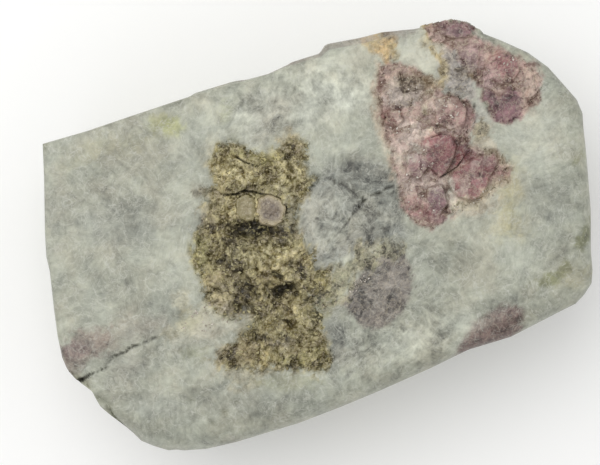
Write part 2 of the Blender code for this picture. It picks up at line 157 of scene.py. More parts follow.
MICA = [
    (-13.8, 17.6), (-12.0, 19.8), (-9.8, 20.1), (-7.5, 18.4), (-6.0, 16.7), (-3.8, 14.8),
    (-1.1, 16.4), (1.2, 17.2), (3.1, 15.3), (1.7, 12.2), (1.2, 9.9), (3.3, 8.7), (0.8, 7.6),
    (-1.6, 5.9), (-3.0, 3.9), (-4.2, 1.3), (-3.3, -0.1), (-2.5, -2.9), (-2.8, -5.9),
    (-0.8, -6.6), (-1.4, -8.3), (-3.0, -9.5), (-5.0, -10.2), (-4.7, -13.5), (-5.7, -17.4), (-5.2, -21.1),
    (-6.4, -22.5),
    (-8.4, -23.2), (-11.2, -21.1), (-15.4, -19.9), (-19.6, -18.8), (-23.3, -17.0),
    (-23.2, -14.9), (-20.8, -12.9), (-17.9, -11.7), (-15.3, -10.2), (-17.8, -9.3),
    (-20.4, -8.8), (-21.6, -6.9), (-22.8, -4.4), (-22.4, -1.0), (-22.4, 2.9), (-21.0, 4.9),
    (-20.1, 6.7), (-18.4, 7.4), (-16.7, 10.1), (-16.5, 12.5), (-14.8, 13.7), (-14.7, 16.1),
]
TOURMALINE = [
    [
        (19.0, 23.8), (22.3, 23.0), (24.8, 21.4), (26.5, 18.2), (28.4, 15.7), (30.2, 14.5), (31.8, 12.0),
        (31.7, 9.8), (29.9, 8.2), (29.4, 6.1), (31.0, 4.5), (33.5, 3.4), (33.9, 1.4), (34.7, 0.1),
        (33.6, -2.1), (30.7, -2.8), (28.0, -3.9), (25.2, -3.9), (22.5, -4.3), (20.4, -5.4), (18.3, -5.8),
        (15.9, -4.4), (14.8, -1.8), (14.4, 0.8), (15.0, 3.0), (15.2, 5.8), (15.4, 8.4), (15.6, 10.7),
        (16.0, 13.4), (16.3, 16.0), (17.1, 19.4), (18.0, 21.9),
    ],
    [
        (28.5, 27.3), (30.8, 27.5), (32.9, 27.5), (34.6, 26.6), (35.8, 24.7), (36.9, 22.4), (38.2, 20.5),
        (40.3, 18.9), (42.3, 17.2), (44.0, 14.8), (44.7, 12.4), (43.3, 9.5), (41.0, 8.6), (38.8, 7.5),
        (36.8, 6.7), (34.9, 8.1), (33.9, 10.5), (33.5, 12.7), (34.1, 14.9), (32.9, 16.4), (32.3, 18.8),
        (32.4, 21.8), (30.3, 23.4), (28.7, 24.5),
    ],
]
# The largest crystal faces in the tourmaline.
WINE_LEFT = [
    (21.4, 8.9), (23.1, 9.4), (25.0, 9.5), (26.5, 8.6), (26.9, 6.4), (25.7, 4.5), (23.9, 2.7), (22.4, 2.1),
    (21.6, 3.8), (20.6, 5.5), (20.4, 7.6),
]
WINE_RIGHT = [
    (24.9, 2.3), (27.1, 2.7), (29.1, 3.3), (31.0, 3.4), (32.6, 3.0), (33.0, 1.6), (31.8, 0.3),
    (30.4, -0.7), (29.5, -2.1), (27.8, -3.3), (26.1, -3.3), (24.5, -2.2), (23.6, -0.6), (23.4, 1.2),
]
ROSE_FACE = [
    (37.2, 19.0), (39.5, 18.9), (41.6, 17.3), (41.3, 15.0), (39.5, 13.6), (37.4, 13.9), (36.0, 15.5),
    (35.9, 17.6),
]
PLUM_FACE = [
    (34.3, 14.4), (35.7, 13.6), (36.6, 12.0), (38.6, 12.6), (40.2, 11.7), (39.9, 9.4), (38.6, 7.8),
    (36.7, 7.0), (35.1, 8.2), (34.5, 10.3), (33.6, 12.5),
]
# How each mineral looks: its colour, how far its rim strays and how softly it ends, both in
# mm, how strongly its tones differ, and how far it is grainy rather than ground smooth.
MINERALS = {
    "albite": ("#9b9c8f", 0.0, 1.0, 1.0, 0.0),
    "quartz": ("#80817a", 1.0, 1.3, 1.35, 0.15),
    "straw": ("#a39e80", 1.4, 1.6, 1.0, 0.0),
    "olive": ("#7b7c61", 0.8, 0.7, 1.1, 0.1),
    "rose": ("#82776f", 1.5, 1.4, 1.4, 0.3),
    "wine_stain": ("#6a5652", 0.7, 0.7, 1.5, 0.4),
    "lavender": ("#6b645f", 0.6, 0.5, 1.8, 0.6),
    "cream": ("#aba58f", 1.2, 0.9, 1.4, 0.6),
    "crust": ("#79755b", 1.6, 0.6, 1.9, 0.9),
    "white": ("#b6b6a9", 1.2, 1.4, 0.9, 0.1),
    "lilac": ("#908985", 1.1, 1.0, 1.6, 0.7),
    "tan": ("#a49684", 0.9, 0.7, 1.3, 0.6),
    "olive_brown": ("#7b7159", 0.9, 0.5, 1.8, 1.0),
    "gold": ("#ab9066", 0.8, 0.5, 1.6, 0.7),
    "brass": ("#8b7e5c", 1.2, 0.6, 1.9, 0.9),
    "tourmaline": ("#968079", 0.6, 0.5, 0.85, 1.0),
    "smoky": ("#85755c", 0.9, 0.9, 0.9, 1.0),
    "ash": ("#958b84", 0.9, 0.7, 1.0, 1.0),
    "red_brown": ("#70504a", 0.7, 0.5, 1.3, 1.0),
    "pale": ("#ac9d96", 0.9, 0.8, 0.95, 1.0),
    "rose_brown": ("#8c6e6b", 0.5, 0.5, 0.9, 0.8),
    "wine": ("#7e5254", 0.5, 0.4, 0.95, 0.6),
    "deep_wine": ("#683d3f", 0.5, 0.4, 1.0, 0.5),
    "mauve": ("#937c7b", 0.8, 0.7, 0.9, 1.0),
    "plum": ("#77585e", 0.6, 0.5, 0.9, 0.6),
    "tan_rose": ("#97847a", 0.8, 0.8, 1.0, 1.0),
    "mica": ("#958c69", 1.3, 0.9, 1.55, 1.0),
    "straw_mica": ("#b2a985", 1.2, 0.9, 1.6, 1.0),
    "brown_mica": ("#867c63", 1.4, 1.0, 1.3, 1.0),
    "olive_mica": ("#7f7b50", 1.2, 1.0, 1.5, 1.0),
    # This dark brown is partly the mica's own colour and partly painted shade in crevices.
    "umber_and_crevice_shade": ("#433a25", 1.1, 1.0, 1.3, 1.0),
    "green_stain": ("#9b9d74", 1.2, 1.0, 1.0, 0.0),
}
# What shows on the face, in the order it is laid: mineral, how fully, and its shape. A shape is
# an outline, an oval (centre x and y, half length, half width, and its turn in degrees where
# it isn't level in the picture) or a vein (line, half width).
FACE_PATCHES = [
    ("quartz", 0.95, [(-0.4, 8.8), (5.2, 10.0), (10.7, 10.0), (14.6, 7.7), (14.7, 2.7), (14.4, -1.8),
        (14.0, -4.8), (11.8, -6.7), (7.5, -5.9), (3.4, -6.0), (-0.7, -7.2), (-4.0, -7.0), (-3.9, -2.9),
        (-3.0, 2.3)]),
    ("quartz", 0.45, (-43.0, 17.9, 1.8, 5.2)),
    ("quartz", 0.4, (-32.8, 12.6, 7.0, 3.8)),
    ("quartz", 0.35, (-2.3, 23.3, 4.5, 2.8)),
    ("quartz", 0.4, (38.9, -7.5, 4.2, 3.8)),
    ("quartz", 0.45, (-39.0, -10.7, 4.2, 2.8, -29)),
    ("quartz", 0.7, (-3.8, -18.2, 1.9, 5.9, -15)),
    ("quartz", 0.5, (-1.3, -20.5, 3.1, 2.4)),
    ("quartz", 0.45, (-36.4, -19.5, 5.2, 2.1, -29)),
    ("quartz", 0.3, (-22.9, -23.2, 7.0, 2.8)),
    ("straw", 0.9, (33.2, -4.8, 1.6, 4.9, -14)),
    ("straw", 0.5, (30.0, -9.3, 2.4, 1.4, 1)),
    ("straw", 0.6, (30.7, -8.8, 1.9, 2.1)),
    ("straw", 0.4, (-19.8, 26.0, 1.8, 1.8)),
    ("straw", 0.35, (-30.2, 25.5, 5.2, 1.4, -4)),
    ("olive", 0.9, ([(41.7, -16.6), (43.0, -15.7), (44.3, -14.9), (45.1, -13.7)], 0.70)),
    ("olive", 0.9, ([(33.1, -20.8), (34.7, -20.9), (36.4, -20.3), (37.9, -19.6)], 0.60)),
    ("olive", 0.6, ([(45.5, -2.9), (46.8, -2.3)], 0.60)),
    ("straw", 0.5, (38.0, -21.6, 1.8, 0.7, -4)),
    ("olive", 0.9, (35.2, -20.5, 2.6, 0.9, 6)),
    ("olive", 0.8, (43.4, -15.5, 0.9, 2.3, -47)),
    ("green_stain", 0.8, (-18.2, 25.3, 1.6, 1.4)),
    ("green_stain", 0.5, (-20.4, 27.0, 1.4, 0.9, 1)),
    ("green_stain", 0.5, (-8.7, 24.4, 1.2, 1.8, -49)),
    ("olive", 0.5, (-8.3, 24.1, 0.9, 1.6, -49)),
    ("olive", 0.5, (-40.0, 29.8, 0.9, 0.9)),
    ("olive", 0.35, (-8.9, 20.1, 1.2, 2.1)),
    ("olive", 0.45, (-27.5, -12.4, 1.8, 1.2)),
    ("rose", 0.9, [(-50.4, -3.6), (-46.5, -2.9), (-42.9, -3.2), (-39.9, -3.9), (-39.9, -5.9),
        (-42.7, -7.5), (-45.2, -8.5), (-47.6, -8.8), (-51.2, -8.7)]),
    ("rose", 0.4, [(-43.8, -3.1), (-38.3, -3.3), (-34.7, -3.6), (-30.3, -4.4), (-29.7, -6.4),
        (-34.0, -7.0), (-38.7, -7.2), (-42.5, -7.6)]),
    ("plum", 0.3, (-47.2, -5.6, 2.4, 1.6, -4)),
    # A pale line along the crack's lower lip: partly a pale vein, partly a painted highlight where the lip
    # catches the light.
    ("white", 0.45, ([(-44.4, -10.5), (-42.0, -9.8), (-39.0, -9.2), (-35.9, -8.8), (-32.6, -8.2)], 0.25)),
    ("quartz", 0.45, (-39.6, -11.6, 3.5, 1.6, 1)),
    ("wine_stain", 0.95, [(15.3, -29.4), (17.2, -26.0), (20.2, -23.7), (22.8, -22.7), (25.5, -22.3),
        (27.8, -23.3), (28.8, -24.7), (27.8, -27.4), (24.1, -29.2)]),
    ("lavender", 0.95, [(-0.6, -12.8), (1.8, -10.5), (4.3, -8.6), (7.3, -7.4), (10.6, -7.0), (12.8, -8.1),
        (13.1, -11.0), (11.8, -14.3), (9.6, -16.9), (6.7, -18.4), (3.4, -19.0), (0.8, -17.2),
        (-0.4, -14.9)]),
    ("brown_mica", 0.5, (-20.1, -17.7, 4.5, 3.5)),
    ("olive", 0.4, (-13.5, -22.8, 5.2, 1.8)),
    ("cream", 0.75, [(-31.7, -8.5), (-27.7, -6.4), (-24.8, -4.5), (-22.1, -4.6), (-20.0, -6.8),
        (-17.1, -9.0), (-15.9, -10.3), (-18.7, -11.0), (-23.1, -10.4), (-26.9, -10.6), (-30.4, -10.5)]),
    ("cream", 0.6, (-26.5, -3.5, 1.2, 2.4, -9)),
    ("cream", 0.4, (-12.8, 19.6, 1.4, 2.8)),
    ("crust", 0.8, [(-4.5, -8.5), (-1.5, -7.3), (2.0, -5.7), (5.7, -4.8), (9.5, -4.4), (12.0, -5.6),
        (13.4, -8.0), (11.4, -8.4), (8.5, -7.8), (5.7, -8.5), (3.1, -10.0), (0.9, -11.5), (-1.3, -12.2),
        (-4.4, -11.5)]),
    ("quartz", 0.6, (13.8, 4.5, 2.4, 3.5)),
    ("quartz", 0.6, (12.5, -3.0, 1.6, 3.8)),
    ("white", 0.3, (0.8, 1.6, 3.1, 4.2)),
    ("white", 0.25, (6.1, 4.2, 3.5, 2.1)),
    ("white", 0.7, ([(-4.6, -4.0), (-1.5, -2.9), (1.7, -1.7), (4.5, -1.0)], 0.22)),
    ("white", 0.6, ([(9.2, 2.2), (5.5, -0.8), (2.3, -2.7)], 0.20)),
    ("white", 0.55, ([(3.1, 3.9), (4.6, 1.7), (5.5, -0.8)], 0.15)),
    ("white", 0.5, ([(10.1, 1.8), (11.5, -0.7), (13.1, -2.3)], 0.20)),
    ("white", 0.45, ([(6.6, 5.1), (8.9, 4.7), (11.5, 2.7), (14.2, 2.9)], 0.20)),
    ("white", 0.4, ([(5.9, 0.2), (9.2, 1.2), (12.3, 1.7)], 0.15)),
    ("white", 0.4, ([(7.5, -5.9), (9.4, -4.0), (11.2, -1.7)], 0.20)),
    ("quartz", 0.5, (-0.7, 22.4, 3.8, 2.8)),
    ("white", 0.35, (-17.8, 21.3, 2.4, 1.8, 21)),
    ("white", 0.75, (25.4, 23.1, 3.5, 3.1, -49)),
    ("white", 0.55, (13.8, 27.0, 7.0, 1.4, 1)),
    ("white", 0.5, (40.4, 4.9, 5.2, 6.3)),
    ("white", 0.35, (26.8, -7.9, 3.1, 3.5)),
    ("white", 0.35, (11.5, 20.4, 5.2, 3.5)),
    ("white", 0.6, (3.6, 21.7, 14.0, 3.8, -7)),
    ("white", 0.4, (-8.7, 18.1, 4.2, 3.5)),
    ("white", 0.3, (12.5, -22.5, 10.5, 2.8, 1)),
    ("lilac", 0.95, (31.1, 18.1, 3.5, 6.3, -4)),
    ("lilac", 0.8, (35.1, 20.6, 2.4, 3.1)),
    ("white", 0.4, (30.2, 14.0, 1.4, 1.4)),
    ("lilac", 0.45, (33.0, 11.2, 1.6, 3.8, 6)),
    ("lilac", 0.4, (25.2, 27.8, 2.4, 1.0)),
    ("tan", 0.9, [(18.6, 24.3), (20.6, 23.6), (19.0, 17.9), (16.9, 13.0), (16.4, 9.1), (15.1, 3.5),
        (14.1, 4.7), (14.9, 9.7), (15.1, 13.6), (16.2, 18.8)]),
    ("tan", 0.6, (31.0, 4.5, 2.1, 2.4)),
    ("tan", 0.5, (26.9, -4.9, 3.8, 1.2, 1)),
    ("tan", 0.5, (29.7, 24.2, 2.1, 1.8)),
    ("olive_brown", 0.8, (31.7, 7.4, 1.4, 1.8, -39)),
    ("gold", 0.95, [(17.3, 29.2), (19.7, 29.5), (22.3, 28.6), (23.6, 27.4), (22.8, 25.8), (21.2, 24.9),
        (20.1, 23.2), (19.6, 25.1), (18.3, 27.2)]),
    ("brass", 0.9, ([(28.4, 28.1), (28.4, 25.7), (28.3, 23.5), (29.1, 21.0), (28.6, 18.3), (27.2, 16.5),
        (25.0, 15.0), (24.2, 13.1)], 0.60)),
    ("rose", 0.6, (23.7, 27.7, 1.6, 0.9, -4)),
    ("brass", 0.7, (21.9, 25.7, 0.9, 1.6, 1)),
    ("straw", 0.5, (19.0, 28.0, 1.0, 0.9)),
    ("brass", 0.5, (28.1, 25.5, 1.4, 2.4, -29)),
    ("tourmaline", 1.0, TOURMALINE[0]),
    ("tourmaline", 1.0, TOURMALINE[1]),
    ("smoky", 0.85, (25.4, 18.2, 2.3, 1.2, -31)),
    ("ash", 0.85, (21.4, 18.3, 3.1, 3.0)),
    ("smoky", 0.5, (22.6, 20.3, 2.4, 1.2)),
    ("red_brown", 0.9, (18.1, 14.8, 1.8, 1.6)),
    ("pale", 0.85, (20.5, 11.6, 2.8, 2.1)),
    ("pale", 0.7, (26.1, 13.9, 1.9, 1.9)),
    ("rose_brown", 0.75, (26.6, 11.9, 1.9, 1.9, 1)),
    ("rose_brown", 0.85, (30.2, 11.1, 1.8, 2.4)),
    ("pale", 0.6, (17.5, 9.1, 2.1, 1.8)),
    ("wine", 0.95, WINE_LEFT),
    ("deep_wine", 0.95, [(26.4, 7.0), (27.7, 6.7), (28.9, 5.4), (30.0, 3.7), (28.5, 2.9), (26.6, 3.0),
        (24.8, 2.5), (23.7, 2.5), (25.5, 4.5)]),
    ("wine", 0.95, WINE_RIGHT),
    ("rose_brown", 0.8, (32.5, -0.5, 1.8, 1.6, 1)),
    ("pale", 0.6, ([(28.5, 2.5), (27.1, 0.6), (25.6, -1.1)], 0.25)),
    ("pale", 0.5, ([(30.3, 2.3), (28.9, -0.0)], 0.20)),
    ("mauve", 0.85, (18.9, 5.9, 2.4, 2.3)),
    ("wine", 0.45, (18.0, 4.9, 1.6, 1.0, 1)),
    ("pale", 0.5, (16.1, 3.1, 1.8, 2.4)),
    ("plum", 0.85, (20.5, -1.4, 1.8, 2.4, -39)),
    ("rose_brown", 0.8, (17.0, -1.3, 2.3, 2.1)),
    ("wine", 0.4, (18.1, -2.9, 1.8, 1.2)),
    ("pale", 0.55, (19.9, 1.8, 2.4, 1.0, -9)),
    ("plum", 0.6, (20.4, -4.8, 1.4, 0.9)),
    ("pale", 0.8, ([(23.8, 2.2), (23.5, 0.4), (23.5, -1.8), (23.0, -4.4)], 0.40)),
    ("white", 0.6, ([(23.7, 1.0), (23.5, -0.7), (23.3, -3.0)], 0.18)),
    ("pale", 0.6, ([(15.6, 7.0), (17.9, 7.1), (20.3, 7.1), (21.9, 8.0)], 0.30)),
    ("pale", 0.6, ([(15.8, 2.3), (17.5, 0.6), (20.1, 0.8), (22.4, 0.8)], 0.30)),
    ("pale", 0.6, ([(20.8, 9.8), (22.8, 10.6), (25.0, 10.6), (26.9, 9.6)], 0.30)),
    ("pale", 0.5, ([(17.8, 18.3), (18.6, 15.8), (19.2, 13.2), (18.0, 10.8)], 0.30)),
    ("tan", 0.5, ([(15.5, 9.8), (17.0, 7.8), (16.9, 5.3)], 0.40)),
    ("tan_rose", 0.5, ([(25.8, 16.2), (26.4, 14.6), (26.2, 13.1)], 0.50)),
    ("cream", 0.7, ([(23.6, -3.5), (27.2, -3.9), (29.9, -2.6), (33.0, -2.1)], 0.50)),
    ("cream", 0.6, ([(31.0, 4.5), (32.8, 3.3), (34.3, 0.4)], 0.40)),
    ("white", 0.5, ([(15.1, 9.9), (16.9, 7.5), (19.7, 8.0)], 0.30)),
    ("cream", 0.6, ([(23.9, 10.6), (23.9, 13.9), (25.3, 15.7)], 0.45)),
    ("plum", 0.9, (33.8, 25.4, 3.3, 1.4, -27)),
    ("mauve", 0.85, (34.5, 19.9, 2.1, 2.1)),
    ("lilac", 0.6, (32.3, 17.9, 1.8, 1.4)),
    ("smoky", 0.9, (32.9, 17.0, 1.2, 0.7, -39)),
    ("rose_brown", 0.85, ROSE_FACE),
    ("wine", 0.75, (39.4, 16.9, 1.8, 1.4)),
    ("pale", 0.6, (37.2, 13.6, 1.2, 0.7)),
    ("mauve", 0.7, (35.9, 15.4, 1.4, 1.8)),
    ("mauve", 0.6, (35.9, 21.7, 1.4, 1.4)),
    ("plum", 0.95, PLUM_FACE),
    ("rose_brown", 0.7, (42.6, 14.5, 1.4, 1.4)),
    ("tan_rose", 0.85, (42.3, 12.0, 1.6, 3.1)),
    ("mica", 1.0, MICA),
    ("straw_mica", 0.75, (-9.8, 14.8, 4.5, 2.4)),
    ("straw_mica", 0.55, (-2.8, 10.9, 3.1, 2.1)),
    ("brown_mica", 0.7, (0.2, 15.4, 2.1, 2.4)),
    ("brown_mica", 0.6, (-15.9, 10.5, 1.4, 2.4)),
    ("olive_mica", 0.7, (-21.0, 2.4, 1.6, 2.8)),
    ("straw_mica", 0.8, (-13.0, 0.2, 7.3, 1.6, -11)),
    ("brown_mica", 0.75, (-18.7, -3.4, 3.7, 3.3)),
    ("straw_mica", 0.6, (-7.9, -2.8, 3.1, 1.6)),
    ("straw_mica", 0.75, (-13.2, -12.1, 4.9, 2.4, -29)),
    ("cream", 0.75, (-12.0, -16.8, 1.6, 1.2)),
    ("olive_mica", 0.5, (-4.0, -11.2, 2.1, 3.5)),
    ("brown_mica", 0.7, (-19.7, -15.5, 3.0, 2.3)),
    ("olive_mica", 0.5, (-10.6, -19.7, 4.4, 1.8)),
    # Dark patches in the hollow: partly the mica's own brown, partly painted shade in its crevices and
    # under the crystals.
    ("umber_and_crevice_shade", 0.9, (-10.5, 4.2, 5.2, 1.2, -23)),
    ("umber_and_crevice_shade", 0.8, (-13.0, 5.6, 2.3, 1.0, -4)),
    ("umber_and_crevice_shade", 0.8, (-7.0, 1.6, 1.9, 1.0, -9)),
    ("umber_and_crevice_shade", 0.7, (-9.9, 2.7, 1.8, 0.9)),
    ("umber_and_crevice_shade", 0.6, (-15.4, 3.0, 2.1, 1.2, 1)),
    ("umber_and_crevice_shade", 0.75, (-8.5, -7.1, 4.5, 1.2, -14)),
    ("umber_and_crevice_shade", 0.35, (-14.7, -4.6, 0.5, 2.3, -9)),
    ("umber_and_crevice_shade", 0.6, (-5.6, -5.1, 1.4, 1.4)),
    ("umber_and_crevice_shade", 0.55, (-18.0, 0.6, 1.8, 0.7, -4)),
    ("umber_and_crevice_shade", 0.55, (-5.5, -10.7, 1.4, 2.1)),
    ("umber_and_crevice_shade", 0.6, (-15.7, -14.2, 2.8, 0.7, -29)),
    ("umber_and_crevice_shade", 0.5, (-9.3, -15.9, 2.1, 0.9, 11)),
    ("umber_and_crevice_shade", 0.5, (-13.3, -10.3, 2.1, 0.7, 1)),
    ("umber_and_crevice_shade", 0.5, (-11.1, 11.2, 3.8, 0.5)),
    ("umber_and_crevice_shade", 0.4, (-18.1, 8.0, 1.0, 1.8)),
    ("umber_and_crevice_shade", 0.4, (-7.3, 14.0, 2.8, 0.5, -39)),
    ("umber_and_crevice_shade", 0.4, (-21.0, -15.0, 1.8, 0.7)),
    ("umber_and_crevice_shade", 0.45, (-13.5, -20.2, 3.5, 0.5, -14)),
    ("olive_mica", 0.6, (-5.5, 15.6, 3.8, 1.0, -29)),
    ("straw_mica", 0.6, (-9.5, 7.7, 5.2, 1.8)),
    ("quartz", 0.5, (-3.8, 5.4, 1.4, 2.4)),
    ("white", 0.5, (-24.4, -8.8, 3.8, 1.6, 1)),
    ("straw", 0.5, (-26.5, -6.8, 1.8, 1.8)),
    ("tan", 0.5, ([(-20.5, -6.7), (-18.6, -8.4), (-16.5, -9.9)], 0.50)),
    # The pale ridge along the seam: partly its own colour, partly a painted highlight on its lip, with a
    # thin line of painted shadow below it.
    ("white", 0.8, ([(-30.3, -10.2), (-26.2, -10.1), (-21.8, -10.3), (-17.4, -10.3)], 0.50)),
    ("umber_and_crevice_shade", 0.35, ([(-29.8, -11.0), (-25.7, -11.0), (-21.4, -11.2), (-17.3, -11.3)], 0.15)),
]
# Cloudy zones of the rock: centre, half width and height, and how light each is.
CLOUDS = [
    ((6.5, 3.0), 7.0, 7.0, -1.1), ((35.5, 6.6), 6.5, 6.0, 0.6), ((11.3, 19.6), 9.0, 6.5, 0.55),
    ((-17.5, 24.9), 8.0, 4.0, 0.3), ((-43.6, 13.5), 3.0, 3.0, -0.5), ((-39.6, -7.3), 6.0, 3.0, -0.5),
    ((-34.1, -1.8), 6.0, 2.4, -0.35), ((44.4, -10.3), 3.5, 9.0, -0.3),
    ((29.1, -22.6), 6.0, 4.0, -0.3), ((-20.4, -21.3), 7.0, 3.0, -0.3), ((-17.4, -26.1), 9.0, 2.2, -0.35),
    ((-4.9, -19.3), 3.0, 4.0, -0.1), ((10.5, 26.4), 22.0, 3.0, 0.9), ((44.3, -0.1), 4.0, 6.0, -0.1),
    ((25.4, 23.1), 2.6, 3.6, 0.7), ((38.0, 4.0), 7.0, 4.0, 0.2), ((-30.0, 5.0), 9.0, 7.0, 0.15),
    ((-27.0, -13.8), 6.0, 2.4, 0.45), ((6.0, -23.0), 8.5, 4.0, -0.7), ((-2.4, -20.1), 4.0, 5.0, -0.5),
]
# Where the ground rock is more broken up and its tones differ more: ovals.
ROUGH = [
    (4.1, 23.0, 13.0, 5.0, -4.0), (5.8, 1.1, 9.5, 9.5, 0.0), (5.3, -21.8, 13.0, 5.0, -4.0),
    (36.7, 21.0, 10.5, 3.5, -49.0),
]
# Parts of the mica hollow that lie deeper: centre, half length, half width, turn and depth.
DEEPS = [
    ((-13.0, -7.5), 9.0, 12.0, 0.0, 1.1),
    ((-10.6, 3.9), 6.8, 2.0, -22.0, 2.2),
    ((-14.2, -5.3), 1.0, 2.6, 14.0, 0.9),
    ((-9.0, -7.6), 3.6, 0.9, -12.0, 1.9),
    ((-9.2, -4.6), 1.6, 0.8, -60.0, 1.3),
    ((-6.6, -9.6), 1.6, 1.1, 10.0, 0.8),
    ((-10.0, -16.5), 1.5, 0.8, -30.0, 0.9),
    ((-10.5, -13.4), 2.4, 0.6, -50.0, 0.9),
    ((-19.5, 0.6), 2.2, 0.7, 20.0, 0.8),
]
# Crystals with flat faces: outline, height of the face, and its rise along x and y.
CRYSTALS = [
    ([(-7.7, 9.3), (-5.6, 8.3), (-4.4, 6.0), (-5.3, 4.0), (-8.5, 4.3), (-9.5, 6.3)], 0.3, 0.10, -0.16),
    ([(-10.3, 10.7), (-8.4, 9.8), (-9.7, 6.3), (-11.1, 5.6), (-12.7, 7.0), (-12.7, 9.0)], 0.0, -0.12, 0.10),
    (WINE_LEFT, 0.3, 0.14, 0.05),
    (WINE_RIGHT, 0.1, -0.05, -0.14),
    (ROSE_FACE, 0.2, 0.10, 0.08),
    (PLUM_FACE, 0.1, -0.08, 0.12),
    ([(30.8, 27.5), (32.9, 27.5), (34.6, 26.6), (35.8, 24.7), (35.6, 23.2), (32.6, 23.9),
        (30.5, 25.4)], 0.2, 0.06, -0.12),
    ([(25.8, 15.1), (28.1, 15.3), (29.9, 14.1), (30.6, 11.7), (29.4, 9.5), (26.8, 9.3),
        (24.8, 11.1)], 0.4, 0.12, 0.10),
    ([(17.6, 16.1), (19.6, 15.4), (19.7, 13.5), (17.6, 12.8), (16.5, 13.9)], 0.1, 0.12, -0.06),
    ([(18.3, 7.9), (21.0, 7.5), (21.5, 4.8), (19.1, 3.0), (17.0, 4.5)], 0.2, -0.10, 0.10),
    ([(19.8, 1.3), (22.4, 0.8), (22.3, -2.5), (19.9, -4.3), (18.2, -2.6)], 0.2, 0.12, 0.08),
]
# The two blocky crystals on the ledge in the hollow.
BLOCKS = [
    [
        (-8.5, 9.0), (-6.6, 9.1), (-4.9, 7.7), (-4.4, 5.9), (-5.4, 4.0), (-7.4, 3.6), (-9.4, 4.9),
        (-9.4, 6.9),
    ],
    [(-11.9, 10.0), (-10.1, 10.3), (-8.9, 9.2), (-9.4, 7.2), (-10.2, 5.6), (-11.7, 6.0), (-12.8, 7.7)],
]
# The blocky crystals' colours, from dark to light, and the colour of their rims.
LILAC = [(0.1, "#443c32"), (0.35, "#685c4f"), (0.6, "#7f7362"), (0.9, "#aba088")], "#ada182"
TAN = [(0.1, "#5a523c"), (0.35, "#80765a"), (0.6, "#958b6d"), (0.9, "#b5ac8f")], "#857c58"
# Where the stone is crushed, and the share of the quartz crumbs that lies there.
CRUSHED = [
    ([(18.7, 23.5), (25.5, 20.8), (24.2, 14.2), (22.8, 7.3), (16.9, 6.5), (15.9, 11.5)], 0.22),
    ([(25.9, 16.4), (31.9, 12.5), (29.9, 6.7), (24.3, 9.0)], 0.10),
    ([(15.9, 8.8), (21.9, 7.6), (23.2, 0.7), (20.4, -4.8), (15.1, -1.5)], 0.18),
    ([(23.0, -2.6), (28.5, -3.0), (34.3, 0.6), (33.6, 3.9), (35.1, 1.2), (33.3, -2.8), (27.9, -4.6),
        (22.7, -4.7)], 0.14),
    ([(36.5, 21.5), (44.1, 15.5), (43.4, 10.4), (39.4, 12.7), (35.8, 15.8)], 0.10),
    ([(-31.5, -8.8), (-23.8, -4.4), (-20.0, -5.0), (-16.5, -9.9), (-23.1, -10.2)], 0.22),
    ([(-7.7, 9.1), (-4.1, 7.9), (-4.5, 6.7), (-7.7, 8.2)], 0.04),
    ([(0.9, -11.1), (2.6, -9.4), (4.7, -8.7), (5.3, -10.2), (2.8, -11.0), (1.1, -12.5)], 0.06),
]
# Cracks: points, half width and depth at the first and at the last point.
CRACKS = [
    ([(-48.3, -10.8), (-47.1, -10.7), (-45.9, -10.3), (-44.5, -10.2)], (0.45, 0.10), (1.8, 0.4)),
    ([(-44.5, -10.2), (-42.8, -10.1), (-41.8, -9.2), (-40.7, -8.6)], (0.10, 0.12), (0.3, 0.5)),
    ([(-40.7, -8.6), (-38.6, -8.6), (-37.2, -8.1), (-35.9, -8.2), (-34.0, -8.0),
        (-32.1, -7.9)], (0.22, 0.10), (0.7, 0.3)),
    ([(4.1, 8.4), (5.7, 7.1), (7.2, 5.1), (8.0, 3.7), (9.0, 2.8)], (0.10, 0.14), (0.3, 0.5)),
    ([(8.6, 2.7), (10.2, 3.0), (11.6, 3.0), (13.1, 3.4), (14.4, 3.4)], (0.21, 0.13), (0.6, 0.3)),
    ([(9.2, 2.9), (7.3, 1.7), (5.6, 0.6), (3.9, -0.6), (2.1, -1.5), (0.3, -2.0)], (0.18, 0.08), (0.5, 0.1)),
    ([(4.0, 8.6), (4.7, 7.4), (5.6, 6.7), (6.6, 6.1), (7.9, 6.8)], (0.12, 0.10), (0.3, 0.3)),
    ([(-13.7, 11.4), (-11.8, 10.9), (-10.2, 11.0), (-9.0, 10.4), (-7.7, 9.6), (-6.2, 8.9),
        (-4.8, 7.6)], (0.24, 0.18), (0.8, 0.5)),
    ([(-9.5, 16.8), (-8.6, 15.7), (-6.9, 14.3)], (0.22, 0.14), (0.6, 0.3)),
    ([(22.5, 2.2), (24.3, 2.5), (25.9, 2.9), (27.3, 3.9), (28.6, 4.9)], (0.17, 0.10), (0.6, 0.3)),
    ([(23.2, 9.2), (24.9, 9.2), (26.3, 8.5), (26.4, 6.6)], (0.10, 0.06), (0.4, 0.2)),
    ([(32.0, 12.1), (31.9, 10.1), (30.5, 8.3)], (0.14, 0.08), (0.4, 0.2)),
]
# The seam where the lower slab drops away, and how far it drops.
STEP_LINE = [(-60.0, -14.0), (-47.6, -11.2), (-37.8, -8.3), (-31.1, -7.6), (-24.0, -10.0), (-14.0, -10.5)]
STEP_DROP = 0.9
# Where the step and its crack split the left side open.
NOTCH = [(-47.4, -11.2), (-46.8, -11.6)]
# Small pits: centre, radius and depth.
PITS = [
    ((-28.5, -25.0), 0.8, 0.7), ((-25.9, -24.2), 1.0, 0.9), ((-23.4, -23.2), 0.7, 0.6),
    ((-30.6, -20.4), 0.6, 0.5), ((-36.2, -28.0), 1.4, 1.0), ((-19.5, -20.0), 0.8, 0.5),
    ((13.5, 19.5), 0.7, 0.4), ((4.0, 24.5), 0.8, 0.4), ((21.0, -9.5), 0.8, 0.5),
]
